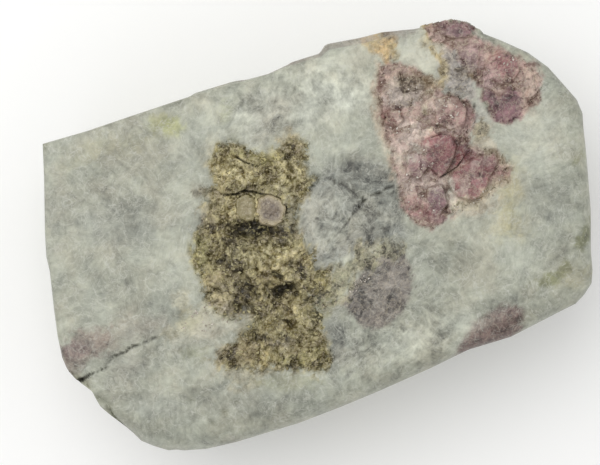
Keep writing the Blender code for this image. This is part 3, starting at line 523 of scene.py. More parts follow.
# Relief in layers: how far across its lumps are, and how high they are.
ROCK_RELIEF = [(24.0, 0.40), (8.0, 0.16), (3.0, 0.06)]
MICA_GRAIN = [(3.2, 0.55), (1.7, 0.30)]
TOURMALINE_GRAIN = [(3.6, 0.38), (2.0, 0.20)]
# The finer lumps of each crust: size, height, and how flat and how rounded each lump is.
MICA_LUMPS = [(2.8, 0.60, 0.25, 1.6), (1.4, 0.52, 0.2, 1.6), (0.75, 0.30, 0.2, 1.6), (0.4, 0.10, 0.4, 1.2)]
TOURMALINE_LUMPS = [(1.7, 0.20, 0.5, 0.8), (0.85, 0.16, 0.4, 1.0), (0.45, 0.10, 0.4, 1.2)]
# How much painted shade darkens the creases between lumps of each size in the crust.
CREASE_SHADE_SHARES = (0.50, 0.55, 0.35)
# The sides' broken faces: how far across they are, and how deep they are cut.
SIDE_BREAKS = [(14.0, 2.2), (6.0, 0.9), (2.8, 0.35), (1.3, 0.12)]

# What shows on the sides: mineral, place along the edge from the upper left corner
# clockwise, depth, half length and half height.
SIDE_PATCHES = [
    ("quartz", 20.0, 14.0, 12.0, 7.0),
    ("quartz", 130.0, 24.0, 12.0, 6.0),
    ("quartz", 200.0, 12.0, 12.0, 6.0),
    ("tourmaline", 58.0, 15.0, 10.0, 5.0),
    ("wine", 61.0, 16.0, 4.0, 2.0),
    ("tourmaline", 236.0, 22.0, 9.0, 4.0),
    ("plum", 239.0, 21.0, 3.0, 2.0),
    ("tourmaline", 119.0, 14.0, 6.0, 8.0),
    ("mica", 22.0, 20.0, 8.0, 3.5),
    ("mica", 180.0, 20.0, 10.0, 4.0),
    ("straw_mica", 183.0, 20.0, 5.0, 2.0),
    ("mica", 268.0, 17.0, 5.0, 5.0),
    ("lavender", 150.0, 16.0, 8.0, 4.0),
    ("rose", 50.0, 4.0, 12.0, 3.0),
    ("rose", 24.0, 3.0, 9.0, 2.0),
]
# What shows on the sawn back: mineral, centre, half length and half width.
BACK_PATCHES = [
    ("tourmaline", (24.0, 6.0), 11.0, 8.0),
    ("tourmaline", (-30.0, -9.0), 7.0, 6.0),
    ("mica", (-6.0, 4.0), 9.0, 11.0),
    ("lavender", (6.0, -14.0), 8.0, 5.0),
    ("quartz", (-18.0, 14.0), 10.0, 7.0),
    ("wine", (27.0, 5.0), 4.0, 3.0),
    ("gold", (12.0, 18.0), 4.0, 3.0),
]


def linear(hex_colour):
    """An sRGB hex colour as linear red, green, blue and alpha."""
    channels = [int(hex_colour[i : i + 2], 16) / 255 for i in (1, 3, 5)]
    return tuple(c / 12.92 if c <= 0.04045 else ((c + 0.055) / 1.055) ** 2.4 for c in channels) + (1.0,)


def smooth(t):
    """0 below 0, 1 above 1, and a soft S between them."""
    t = np.clip(t, 0.0, 1.0)
    return t * t * (3.0 - 2.0 * t)


def scatter(ix, iy, seed):
    """An even spread of numbers from 0 to 1, one for each pair of whole numbers. The large
    odd factors only mix the bits."""
    h = ix.astype(np.int64) * 374761393 + iy.astype(np.int64) * 668265263 + seed * 974634777
    h = (h ^ (h >> 13)) & 0x7FFFFFFF
    h = (h * 1274126177) & 0x7FFFFFFF
    return ((h ^ (h >> 16)) & 0xFFFFFF) / float(0xFFFFFF)


def waves(points, size, seed):
    """Smooth relief from -1 to 1 whose lumps are about size across."""
    p = points / size
    cell = np.floor(p)
    f = smooth(p - cell)
    ix, iy = cell[:, 0], cell[:, 1]
    low = scatter(ix, iy, seed) * (1 - f[:, 0]) + scatter(ix + 1, iy, seed) * f[:, 0]
    high = scatter(ix, iy + 1, seed) * (1 - f[:, 0]) + scatter(ix + 1, iy + 1, seed) * f[:, 0]
    return 2.0 * (low * (1 - f[:, 1]) + high * f[:, 1]) - 1.0


def wander(points, size, seed):
    """A soft push, in lumps about size across, that makes straight lines wander."""
    return np.column_stack([waves(points, size, seed), waves(points, size, seed + 1)])


def facets(points, size, seed, flat=1.0, round_off=0.0):
    """Relief from about -1 to 1 made of flat, tilted faces about size across. Where they are
    rounded off, each is a lump with creases round it."""
    cell = np.floor(points / size)
    nearest = np.full(len(points), np.inf)
    height = np.zeros(len(points))
    for dx in (-1, 0, 1):
        for dy in (-1, 0, 1):
            ix, iy = cell[:, 0] + dx, cell[:, 1] + dy
            centre = np.column_stack([ix + scatter(ix, iy, seed), iy + scatter(ix, iy, seed + 1)])
            away = points / size - centre
            distance = (away**2).sum(1)
            tilt_x = scatter(ix, iy, seed + 2) - 0.5
            tilt_y = scatter(ix, iy, seed + 3) - 0.5
            level = FACET_LEVELS * (scatter(ix, iy, seed + 4) - 0.5)
            face = flat * (level + FACET_TILT * (tilt_x * away[:, 0] + tilt_y * away[:, 1]))
            face = face + round_off * (0.35 - distance)
            closer = distance < nearest
            nearest = np.where(closer, distance, nearest)
            height = np.where(closer, face, height)
    return height


def worn_facets(points, size, seed):
    """The same faces with the steps between them worn down."""
    reach = FACET_WEAR * size
    shifts = ((0.0, 0.0), (reach, 0.0), (-reach, 0.0), (0.0, reach), (0.0, -reach))
    return sum(facets(points + np.array(shift), size, seed) for shift in shifts) / len(shifts)


def breaks(points, size, seed):
    """Relief from 0 to 1 made of flat three-sided faces that meet along sharp edges."""
    p = points / size + 0.3 * wander(points, 1.7 * size, seed + 7)
    # Leans the square cells over, so that each halves into two triangles with even sides.
    p = p + (p.sum(1) * 0.366)[:, None]
    cell = np.floor(p)
    fx, fy = (p - cell).T
    ix, iy = cell.T
    lower = fx > fy
    long, short = np.maximum(fx, fy), np.minimum(fx, fy)
    middle = np.where(lower, scatter(ix + 1, iy, seed), scatter(ix, iy + 1, seed))
    first, last = scatter(ix, iy, seed), scatter(ix + 1, iy + 1, seed)
    return (1 - long) * first + (long - short) * middle + short * last


def along_line(points, line):
    """For each point, its distance to a line through the given corners, how far along that
    line it comes, from 0 to 1, and which side of it the point is on."""
    corners = np.array(line, float)
    lengths = np.linalg.norm(np.diff(corners, axis=0), axis=1)
    reached = np.concatenate([[0.0], np.cumsum(lengths)])
    best = np.full(len(points), np.inf)
    share = np.zeros(len(points))
    side = np.zeros(len(points))
    for i, (a, b) in enumerate(zip(corners[:-1], corners[1:])):
        run = b - a
        t = np.clip(((points - a) @ run) / (run @ run), 0.0, 1.0)
        away = points - (a + t[:, None] * run)
        distance = np.hypot(away[:, 0], away[:, 1])
        closer = distance < best
        best = np.where(closer, distance, best)
        share = np.where(closer, (reached[i] + t * lengths[i]) / reached[-1], share)
        turn = run[0] * (points[:, 1] - a[1]) - run[1] * (points[:, 0] - a[0])
        side = np.where(closer, np.sign(turn), side)
    return best, share, side


def inside(points, outline):
    """Distance to a closed outline, above 0 inside it and below 0 outside it."""
    corners = np.array(outline, float)
    distance, _, _ = along_line(points, np.vstack([corners, corners[:1]]))
    within = np.zeros(len(points), bool)
    for a, b in zip(corners, np.roll(corners, -1, axis=0)):
        spans = (a[1] > points[:, 1]) != (b[1] > points[:, 1])
        rise = b[1] - a[1] if b[1] != a[1] else 1e-9
        crossing = a[0] + (points[:, 1] - a[1]) * (b[0] - a[0]) / rise
        within ^= spans & (points[:, 0] < crossing)
    return np.where(within, distance, -distance)


def lumps(points, layers, seed):
    """The finer lumps of a crust of grains."""
    bent = points + 0.5 * wander(points, 2.5, seed + 7)
    return sum(
        height * facets(bent, size, seed + 10 * i, *form) for i, (size, height, *form) in enumerate(layers)
    )


def creases(points, layers, seed):
    """Painted shading for a crust: 0 on its lumps, falling to about -1 of painted shade in the creases
    between them, with painted light along thin crests.
    """
    bent = points + 0.5 * wander(points, 2.5, seed + 7)
    depth = np.zeros(len(points))
    for i, ((size, *_), share) in enumerate(zip(layers, CREASE_SHADE_SHARES)):
        bulge = facets(bent, size, seed + 10 * i, 0.0, 1.0)
        depth += share * (smooth((bulge + 0.30) / 0.30) - 1.0)
    crests = 0.4 - np.abs(waves(bent, 1.1, seed + 90)) - 0.5 * np.abs(waves(bent, 0.6, seed + 91))
    return depth + 0.35 * crests


def rock_relief(points):
    """The faint unevenness that grinding left in the rock."""
    return sum(size * waves(points, scale, ROCK_SEED + i) for i, (scale, size) in enumerate(ROCK_RELIEF))


def broken_relief(points, layers, seed):
    """Worn broken faces, one layer of them over another."""
    return sum(size * worn_facets(points, scale, seed + 10 * i) for i, (scale, size) in enumerate(layers))


def oval(points, centre, half_length, half_width, turn=0.0):
    """1 at the centre of an oval, 0 along its rim and below 0 outside it."""
    angle = np.radians(turn)
    x, y = (points - np.array(centre)).T
    along = (x * np.cos(angle) + y * np.sin(angle)) / half_length
    across = (y * np.cos(angle) - x * np.sin(angle)) / half_width
    return 1.0 - np.hypot(along, across)


def mica_relief(points):
    """The hollow with its lumps of mica and its deeper places."""
    share = smooth(inside(points, MICA) / 1.6 + 0.3)
    grain = broken_relief(points, MICA_GRAIN, MICA_SEED)
    depth = np.full(len(points), HOLLOW_DEPTH)
    bent = points + 0.8 * wander(points, 2.2, DEEPS_SEED)
    for *hollow, deep in DEEPS:
        depth += deep * smooth(1.5 * oval(bent, *hollow))
    return share * (grain - depth)


def tourmaline_relief(points):
    """The two patches of tourmaline, broken a little deeper than the rock."""
    relief = np.zeros(len(points))
    for patch in TOURMALINE:
        share = smooth(inside(points, patch) / 0.9 + 0.2)
        relief += share * (broken_relief(points, TOURMALINE_GRAIN, TOURMALINE_SEED) - TOURMALINE_DEPTH)
    return relief


def with_crystals(points, relief):
    """Sets the flat faces of the larger crystals into the relief."""
    for outline, level, rise_x, rise_y in CRYSTALS:
        centre = np.mean(outline, axis=0)
        share = smooth(inside(points, outline) / 0.4 + 0.5)
        face = level + (points - centre) @ np.array([rise_x, rise_y])
        relief = relief + share * (face - relief)
    return relief


def between(ends, share):
    """The value at a share of the way from the first of two values to the second."""
    return ends[0] + share * (ends[1] - ends[0])


def crack_relief(points):
    """Narrow grooves along the cracks."""
    relief = np.zeros(len(points))
    for line, widths, depths in CRACKS:
        distance, share, _ = along_line(points, line)
        groove = between(depths, share) * smooth(1.0 - distance / between(widths, share))
        relief = np.minimum(relief, -groove)
    return relief


def step_relief(points):
    """The lower slab drops towards the lower left, and ends along the seam."""
    distance, share, side = along_line(points, STEP_LINE)
    below = smooth(0.5 - side * distance / 0.8)
    fade = smooth((share - 0.1) / 0.8)
    return -STEP_DROP * below * (1 - fade) * smooth(1.2 - distance / 22.0)


def pit_relief(points):
    """Small round pits."""
    relief = np.zeros(len(points))
    for centre, radius, depth in PITS:
        away = np.hypot(*(points - np.array(centre)).T)
        relief -= depth * smooth(1.0 - away / radius)
    return relief


def edge_drop(points, edge):
    """How far the face falls where it rounds over into the sides."""
    distance = np.full(len(points), np.inf)
    radius = np.zeros(len(points))
    for x, y, edge_radius, _ in edge:
        away = np.hypot(points[:, 0] - x, points[:, 1] - y)
        closer = away < distance
        distance = np.where(closer, away, distance)
        radius = np.where(closer, edge_radius, radius)
    reach = np.clip(1.0 - distance / radius, 0.0, 1.0)
    return radius * (1.0 - np.sqrt(1.0 - reach**2))


def face_height(points, edge):
    """Height of the front face above the back, at each point of the plane."""
    relief = rock_relief(points) + mica_relief(points) + tourmaline_relief(points)
    relief = with_crystals(points, relief)
    relief = relief + step_relief(points) + pit_relief(points)
    relief = relief + crack_relief(points)
    return THICKNESS + relief - edge_drop(points, edge)


def run_of_edge(first, last, count):
    """Points at even steps along the outline from one of its corners to another, with the
    edge radius and the flare there."""
    corners = np.array(OUTLINE, float)
    if last > first:
        chosen = corners[first : last + 1]
    else:
        chosen = np.vstack([corners[first:], corners[: last + 1]])
    lengths = np.linalg.norm(np.diff(chosen[:, :2], axis=0), axis=1)
    reached = np.concatenate([[0.0], np.cumsum(lengths)])
    steps = np.linspace(0.0, reached[-1], count + 1)
    return np.column_stack([np.interp(steps, reached, chosen[:, i]) for i in range(4)])


def filled(top, right, bottom, left):
    """Fills the space between the four runs of an outline with rows of points."""
    u = np.linspace(0.0, 1.0, len(top))[None, :, None]
    v = np.linspace(0.0, 1.0, len(left))[:, None, None]
    across = (1 - v) * bottom[None, :, :2] + v * top[None, :, :2]
    along = (1 - u) * left[:, None, :2] + u * right[:, None, :2]
    corners = (
        (1 - u) * (1 - v) * bottom[0, :2]
        + u * (1 - v) * bottom[-1, :2]
        + (1 - u) * v * top[0, :2]
        + u * v * top[-1, :2]
    )
    return across + along - corners


def broken_side(reached, depth):
    """How far the broken side is cut back at these places along the edge, at one depth."""
    around = reached[-1]
    join = smooth((reached - around + JOIN) / JOIN)
    cut = np.zeros(len(reached))
    for i, (scale, size) in enumerate(SIDE_BREAKS):
        at = np.column_stack([reached, np.full(len(reached), depth)])
        here = breaks(at, scale, SIDE_SEED + 10 * i)
        start = breaks(at - [around, 0.0], scale, SIDE_SEED + 10 * i)
        cut += size * ((1 - join) * here + join * start)
    return cut * smooth((depth - BREAKS_START) / BREAKS_GROWTH)


def side_offset(edge, reached, depth):
    """How far outside the face's edge the side lies, this far below the edge."""
    swell = edge[:, 3] * np.sin(0.5 * np.pi * min(depth / FLARE_DEPTH, 1.0))
    draft = SIDE_DRAFT * max(depth - FLARE_DEPTH, 0.0)
    ledges = np.zeros(len(edge))
    far_side = edge[:, 1] > 20.0
    for first, last, out in FAR_LEDGES:
        within = smooth((edge[:, 0] - first) / 1.5) * smooth((last - edge[:, 0]) / 3.0)
        ledges += np.where(far_side, out * within * smooth((depth - LEDGE_TOP) / 0.5), 0.0)
    notch, _, _ = along_line(edge[:, :2], NOTCH)
    split = 0.7 * smooth(1.0 - notch / 1.3) * smooth(1.0 - depth / 9.0)
    return swell + ledges - draft - broken_side(reached, depth) - split


def outward_of(edge, reach, step):
    """The outward direction at each point of the edge, longer at the corners, as a mitre is."""
    places = edge[:, :2]
    ahead = sum(np.roll(places, -i, axis=0) - np.roll(places, i, axis=0) for i in range(1, reach + 1))
    outward = np.column_stack([-ahead[:, 1], ahead[:, 0]]) / (step * reach * (reach + 1))
    return outward / (outward**2).sum(1)[:, None]


def furthest_in(points, shapes):
    """Distance in from the rim of the shape that each point is furthest inside."""
    return np.max([depth_in(points, shape) for shape in shapes], axis=0)


def depth_in(points, shape):
    """Distance in from the rim of an outline, an oval or a vein. It is only worked out near
    the shape, and is -FAR elsewhere."""
    if isinstance(shape, list):
        corners, reach = np.array(shape), FAR
    elif len(shape) == 2:
        corners, reach = np.array(shape[0]), FAR
    else:
        corners, reach = np.array([shape[:2]]), FAR + max(shape[2:4])
    near = ((points > corners.min(0) - reach) & (points < corners.max(0) + reach)).all(1)
    close = points[near]
    depth = np.full(len(points), -FAR)
    if isinstance(shape, list):
        depth[near] = inside(close, shape)
    elif len(shape) == 2:
        depth[near] = shape[1] - along_line(close, shape[0])[0]
    else:
        x, y, half_length, half_width, *turn = shape
        share = oval(close, (x, y), half_length, half_width, *(turn or [-PICTURE_TURN]))
        depth[near] = share * min(half_length, half_width)
    return depth


def plain_look(points, palette):
    """Bare rock at these points, and where the rims of the minerals stray there."""
    count = len(points)
    return {
        "tint": np.tile(palette["albite"], (count, 1)),
        "contrast": np.ones(count),
        "grain": np.zeros(count),
        "light": np.zeros(count),
        "painted_shade": np.zeros(count),
        "stray": 0.6 * facets(points, 1.0, STRAY_SEED) + 0.7 * waves(points, 3.0, STRAY_SEED + 10),
    }


def lay(look, palette, mineral, amount, depth):
    """Lays a mineral over a look where its depth in from the rim is above 0."""
    _, wobble, blur, contrast, grain = MINERALS[mineral]
    share = amount * smooth(0.5 + (depth + wobble * look["stray"]) / (2.0 * blur))
    look["tint"] += share[:, None] * (palette[mineral] - look["tint"])
    look["contrast"] += share * (contrast - look["contrast"])
    look["grain"] += share * (grain - look["grain"])


def crack_shade(points):
    """How much painted shade darkens the cracks, from 0 to 1. Each is broken up along its length."""
    painted_shade = np.zeros(len(points))
    patchy = 0.75 + 0.45 * waves(points, 1.1, CRACK_SEED)
    for line, widths, _ in CRACKS:
        distance, share, _ = along_line(points, line)
        half = between(widths, share) * patchy
        painted_shade = np.maximum(painted_shade, 0.8 * smooth(0.5 + (half - distance) / 0.2) * smooth(half / 0.12))
    return painted_shade


def face_look(points, palette):
    """The colour and the texture at points of the front face."""
    look = plain_look(points, palette)
    for mineral, amount, shape in FACE_PATCHES:
        lay(look, palette, mineral, amount, depth_in(points, shape))
    ground = 1.0 - look["grain"]
    rough = np.max([smooth(0.5 + depth_in(points, shape) / 5.0) for shape in ROUGH], axis=0)
    look["contrast"] *= 1.0 + 0.5 * rough * ground
    # A cloud fades out over one and a half times its half width.
    clouds = sum(light * smooth(oval(points, centre, 1.5 * w, 1.5 * h)) for centre, w, h, light in CLOUDS)
    uneven = points + 0.8 * wander(points, 3.0, WANDER_SEED)
    grains = 1.7 * facets(uneven, 2.6, LIGHT_SEED + 5) + 1.1 * facets(uneven, 1.2, LIGHT_SEED + 7)
    look["light"] = clouds + look["grain"] * (grains - clouds)
    look["light"] += ground * (0.12 + 0.7 * rough) * facets(uneven, 3.4, LIGHT_SEED)
    # Painted shade in the deeper parts of the mica hollow, joined with the painted shade of the cracks.
    deep = smooth((-mica_relief(points) - 1.3 + 0.7 * look["stray"]) / 1.8)
    look["painted_shade"] = np.maximum(crack_shade(points), 0.75 * deep)
    return look


def side_look(face, reached, depth, palette):
    """The same this far below the edge: the colours of the face's edge fade out downwards,
    and the sides have patches of their own."""
    at = np.column_stack([reached, np.full(len(reached), depth)])
    look = plain_look(at, palette)
    left = 1.0 - smooth((depth - 1.0 + 2.0 * look["stray"]) / 7.0)
    for name in ("contrast", "grain", "light", "painted_shade"):
        look[name] += left * (face[name] - look[name])
    look["tint"] += left[:, None] * (face["tint"] - look["tint"])
    uneven = 3.2 * waves(at, 7.0, SIDE_RIM_SEED) + 1.6 * facets(at, 2.6, SIDE_RIM_SEED + 10)
    for mineral, place, down, *halves in SIDE_PATCHES:
        lay(look, palette, mineral, 0.65, oval(at, (place, down), *halves) * min(halves) + uneven)
    return look


def back_look(points, palette):
    """The colour and the texture at points of the sawn back."""
    look = plain_look(points, palette)
    uneven = 3.0 * waves(points, 9.0, BACK_RIM_SEED) + 1.6 * facets(points, 3.0, BACK_RIM_SEED + 10)
    for mineral, centre, *halves in BACK_PATCHES:
        lay(look, palette, mineral, 0.9, oval(points, centre, *halves) * min(halves) + uneven)
    return look


def store(mesh, name, values):
    """Stores a number for each of the mesh's points, for the material."""
    mesh.attributes.new(name, "FLOAT", "POINT").data.foreach_set("value", values.astype(np.float32))


def keep_look(mesh, looks):
    """Stores the looks of the mesh's points, in order, for the material."""
    for name in ("contrast", "grain", "light", "painted_shade"):
        store(mesh, name, np.concatenate([look[name] for look in looks]))
    tint = np.vstack([look["tint"] for look in looks])
    colours = np.column_stack([tint, np.ones(len(tint))]).astype(np.float32)
    mesh.attributes.new("tint", "FLOAT_COLOR", "POINT").data.foreach_set("color", colours.ravel())


def stone_outline(step):
    """The four sides of the outline, with the points that the face's grid has along them."""
    columns, rows = round(FACE_LENGTH / step), round(FACE_WIDTH / step)
    columns -= columns % BACK_COARSER
    rows -= rows % BACK_COARSER
    starts, ends = GRID_CORNERS, GRID_CORNERS[1:] + GRID_CORNERS[:1]
    return [run_of_edge(*side) for side in zip(starts, ends, (columns, rows, columns, rows))]


def all_round(sides):
    """The four sides of the outline as one closed row of points."""
    return np.vstack([side[:-1] for side in sides])


def quads(index):
    """The four corners of each cell of a grid of points."""
    return np.stack([index[:-1, :-1], index[:-1, 1:], index[1:, 1:], index[1:, :-1]], -1)


def stone_mesh(step, palette):
    """The block: the face grid, the side rings and the sawn back, with the minerals' places."""
    top, right, bottom, left = stone_outline(step)
    columns, rows = len(top) - 1, len(left) - 1
    edge = all_round((top, right, bottom, left))
    flat = filled(top, right[::-1], bottom[::-1], left).reshape(-1, 2)
    under_crust = smooth(furthest_in(flat, [MICA, *TOURMALINE]) - 0.9)
    verts = [np.column_stack([flat, face_height(flat, edge) - ROCK_BELOW * under_crust])]
    looks = [face_look(flat, palette)]
    index = np.arange(len(flat)).reshape(rows + 1, columns + 1)
    faces = quads(index).reshape(-1, 4).tolist()

    loop = np.concatenate([index[-1, :-1], index[:0:-1, -1], index[0, :0:-1], index[:-1, 0]])
    heights = verts[0][loop, 2]
    reached = np.cumsum(np.linalg.norm(edge[:, :2] - np.roll(edge[:, :2], 1, axis=0), axis=1))
    rim_look = {name: values[loop] for name, values in looks[0].items()}
    outward = outward_of(edge, 1, step)
    spread = outward_of(edge, round(CORNER_SPREAD / step), step)
    made = len(flat)
    for ring in range(1, SIDE_RINGS + 1):
        remaining = (1.0 - ring / SIDE_RINGS) ** RING_CROWDING
        level = THICKNESS * remaining
        low = np.clip(1.0 - level / BACK_EDGE_RADIUS, 0.0, 1.0)
        inset = BACK_EDGE_RADIUS * (1.0 - np.sqrt(1.0 - low**2))
        out = side_offset(edge, reached, THICKNESS - level) - inset
        direction = np.where((out > 0)[:, None], outward, spread)
        verts.append(np.column_stack([edge[:, :2] + direction * out[:, None], heights * remaining]))
        looks.append(side_look(rim_look, reached, THICKNESS - level, palette))
        below = np.arange(made, made + len(edge))
        made += len(edge)
        faces += np.stack([loop, np.roll(loop, -1), np.roll(below, -1), below], -1).tolist()
        loop = below

    back_faces, back_flat = sawn_back(verts[-1][:, :2], loop, columns, rows, made)
    verts.append(np.column_stack([back_flat, np.zeros(len(back_flat))]))
    looks.append(back_look(back_flat, palette))
    looks[-2] = back_look(verts[-2][:, :2], palette)
    mesh = bpy.data.meshes.new("rock")
    mesh.from_pydata((np.vstack(verts) * MM).tolist(), [], faces + back_faces)
    keep_look(mesh, looks)
    mesh.validate()
    return mesh


def crust_mesh(name, patches, layers, seed, crease_shade_strength, step, palette):
    """The grainy crust over some patches of the face. Its rim dips under the rock around it,
    and crease_shade_strength says how strongly painted shade darkens its creases and painted light lifts
    its crests."""
    everything = np.vstack(patches)
    low, high = everything.min(0) - 1.0, everything.max(0) + 1.0
    xs, ys = np.arange(low[0], high[0], step), np.arange(low[1], high[1], step)
    points = np.stack(np.meshgrid(xs, ys), -1).reshape(-1, 2)
    border = inside(points, [corner[:2] for corner in OUTLINE])
    depth = np.minimum(furthest_in(points, patches), border - CRUST_BORDER)
    kept = quads((depth > -CRUST_MARGIN).reshape(len(ys), len(xs))).all(-1)
    cells = quads(np.arange(len(points)).reshape(len(ys), len(xs)))[kept]
    used, cells = np.unique(cells, return_inverse=True)
    points, depth = points[used], depth[used]

    on_crystals = smooth(0.5 + furthest_in(points, [crystal[0] for crystal in CRYSTALS]) / 0.4)
    worn = 1.0 - CRYSTAL_WEAR * on_crystals
    rough = worn * lumps(points, layers, seed)
    rim = smooth((depth + 0.5 * facets(points, 0.9, STRAY_SEED) + 0.7) / 1.6)
    height = face_height(points, all_round(stone_outline(COARSE_STEP)))
    height = height + rim * (CRUST_RISE + rough) - (1.0 - rim) * CRUST_DIP
    ragged = furthest_in(points, BLOCKS) - 0.15 + 0.3 * facets(points, 0.7, BLOCK_SEED)
    under_blocks = smooth(0.5 + ragged / 0.4)
    height -= BLOCK_BED * under_blocks

    mesh = bpy.data.meshes.new(name)
    places = np.column_stack([points, height]) * MM
    mesh.from_pydata(places.tolist(), [], cells.reshape(-1, 4).tolist())
    look = face_look(points, palette)
    # Painted shade round the feet of the blocky crystals.
    look["painted_shade"] = np.maximum(look["painted_shade"], 0.3 * under_blocks)
    keep_look(mesh, [look])
    # Painted shading: shade in the creases between the lumps, light along thin crests.
    store(mesh, "crease_shading", crease_shade_strength * rim * worn * creases(points, layers, seed))
    return mesh


def block_mesh(name, outline, rise):
    """A blocky crystal with a flat sloping top and worn edges."""
    edge = all_round(stone_outline(COARSE_STEP))
    points = np.array(outline)
    centre = points.mean(0)
    ground = THICKNESS + rock_relief(points) - edge_drop(points, edge)
    top = ground.mean() + BLOCK_RISE + (points - centre) @ np.array(rise)
    wider = centre + (points - centre) * BLOCK_FOOT
    shape = bmesh.new()
    upper = [shape.verts.new((x * MM, y * MM, z * MM)) for (x, y), z in zip(points, top)]
    lower = [shape.verts.new((x * MM, y * MM, z * MM)) for (x, y), z in zip(wider, top - BLOCK_HEIGHT)]
    shape.faces.new(upper)
    shape.faces.new(lower[::-1])
    for i in range(len(points)):
        j = (i + 1) % len(points)
        shape.faces.new((upper[j], upper[i], lower[i], lower[j]))
    edges = list(shape.edges)
    bmesh.ops.bevel(shape, geom=edges, offset=BLOCK_EDGE * MM, segments=3, affect="EDGES", profile=0.5)
    bmesh.ops.triangulate(shape, faces=shape.faces)
    for _ in range(4):
        long_edges = [edge for edge in shape.edges if edge.calc_length() > BLOCK_STEP * MM]
        bmesh.ops.subdivide_edges(shape, edges=long_edges, cuts=1)
        bmesh.ops.triangulate(shape, faces=shape.faces)
    bmesh.ops.recalc_face_normals(shape, faces=shape.faces)

    places = np.array([vert.co for vert in shape.verts]) / MM
    # Places along a slant, so that the wear carries on from the top down over the sides.
    slant = places[:, :2] + 0.7 * places[:, 2:]
    worn = 0.14 * waves(slant, 1.6, BLOCK_SEED + 10) + 0.14 * facets(slant, 0.8, BLOCK_SEED + 20, 0.4, 1.2)
    for vert, out in zip(list(shape.verts), worn):
        vert.co += vert.normal * float(out) * MM
    mesh = bpy.data.meshes.new(name)
    shape.to_mesh(mesh)
    shape.free()
    store(mesh, "inward", depth_in(places[:, :2], outline))
    return mesh


def sawn_back(rim, loop, columns, rows, made):
    """Faces that fill the rim of the back with a coarser grid, and the grid's inner points."""
    n = BACK_COARSER
    wide, high = columns // n, rows // n
    ends = np.cumsum([0, columns, rows, columns, rows])
    sides = [np.arange(ends[i], ends[i + 1] + 1, n) % len(loop) for i in range(4)]
    top, right, bottom, left = (rim[side] for side in sides)
    grid = filled(top, right[::-1], bottom[::-1], left)
    index = np.full((high + 1, wide + 1), -1)
    index[1:-1, 1:-1] = made + np.arange((high - 1) * (wide - 1)).reshape(high - 1, wide - 1)
    top, right, bottom, left = (loop[side] for side in sides)
    index[-1], index[::-1, -1], index[0, ::-1], index[:, 0] = top, right, bottom, left

    # Along the rim, a side of a coarse cell takes in the finer points of the ring above.
    finer = {}
    closed = loop.tolist() + [int(loop[0])]
    for start in range(0, len(loop), n):
        run = closed[start : start + n + 1]
        finer[run[0], run[-1]] = run[:-1]
        finer[run[-1], run[0]] = run[:0:-1]
    faces = []
    for row in range(high):
        for column in range(wide):
            up, over = row + 1, column + 1
            cell = [int(index[at]) for at in ((row, column), (up, column), (up, over), (row, over))]
            pairs = zip(cell, cell[1:] + cell[:1])
            faces.append([point for pair in pairs for point in finer.get(pair, pair[:1])])
    return faces, grid[1:-1, 1:-1].reshape(-1, 2)


def grain_mesh(name, centres, heights, sizes, thicknesses, tilts, tones, sides, rng):
    """Many small flat-faced grains as one mesh. Each is a low prism with the given number of
    sides, tilted on the surface, and its tone is stored for the material."""
    count = len(centres)
    turn = rng.uniform(0, 2 * np.pi, count)
    lean = rng.uniform(0, 2 * np.pi, count)
    corner = np.arange(sides) / sides * 2 * np.pi
    uneven = rng.uniform(0.75, 1.25, (count, sides))
    radius = sizes[:, None] * 0.5 * uneven
    long, short = GRAIN_LENGTH * radius * np.cos(corner), GRAIN_WIDTH * radius * np.sin(corner)
    x = long * np.cos(turn)[:, None] - short * np.sin(turn)[:, None]
    y = long * np.sin(turn)[:, None] + short * np.cos(turn)[:, None]
    rings = []
    for up, shrink in ((-0.5, GRAIN_FOOT), (0.5, 1.0)):
        rings.append(np.stack([x * shrink, y * shrink, np.repeat(up * thicknesses[:, None], sides, 1)], -1))
    body = np.concatenate(rings, axis=1)
    axis = np.stack([np.cos(lean), np.sin(lean), np.zeros(count)], -1)[:, None, :]
    cosine, sine = np.cos(tilts)[:, None, None], np.sin(tilts)[:, None, None]
    body = (
        body * cosine
        + np.cross(np.broadcast_to(axis, body.shape), body) * sine
        + axis * (body * axis).sum(-1, keepdims=True) * (1 - cosine)
    )
    body = body + np.column_stack([centres, heights])[:, None, :]
    start = np.arange(count)[:, None] * 2 * sides
    ring = np.arange(sides)
    caps = [start + ring[::-1], start + sides + ring]
    faces = [face for cap in caps for face in cap.tolist()]
    for i in range(sides):
        j = (i + 1) % sides
        quad = np.hstack([start + i, start + j, start + sides + j, start + sides + i])
        faces += quad.tolist()
    mesh = bpy.data.meshes.new(name)
    mesh.from_pydata((body.reshape(-1, 3) * MM).tolist(), [], faces)
    store(mesh, "tone", np.repeat(tones, 2 * sides))
    return mesh


def add(tree, kind, inputs=None, stops=(), **settings):
    """Adds a shader node with its settings. An input is a value, or another node's output to
    link. A ramp also has stops, each a place and a hex colour."""
    node = tree.nodes.new("ShaderNode" + kind)
    for name, value in settings.items():
        setattr(node, name, value)
    for key, value in (inputs or {}).items():
        if isinstance(value, bpy.types.NodeSocket):
            tree.links.new(value, node.inputs[key])
        else:
            node.inputs[key].default_value = value
    if stops:
        elements = node.color_ramp.elements
        while len(elements) < len(stops):
            elements.new(0.5)
        for element, (place, colour) in zip(elements, stops):
            element.position = place
            element.color = linear(colour)
    return node


def fresh_material(name):
    """A new material and its empty node tree."""
    material = bpy.data.materials.new(name)
    material.use_nodes = True
    tree = material.node_tree
    tree.nodes.clear()
    return material, tree


def millimetres(tree):
    """The place on the object in millimetres."""
    place = add(tree, "TexCoord").outputs["Object"]
    return add(tree, "VectorMath", {0: place, "Scale": 1 / MM}, operation="SCALE").outputs[0]


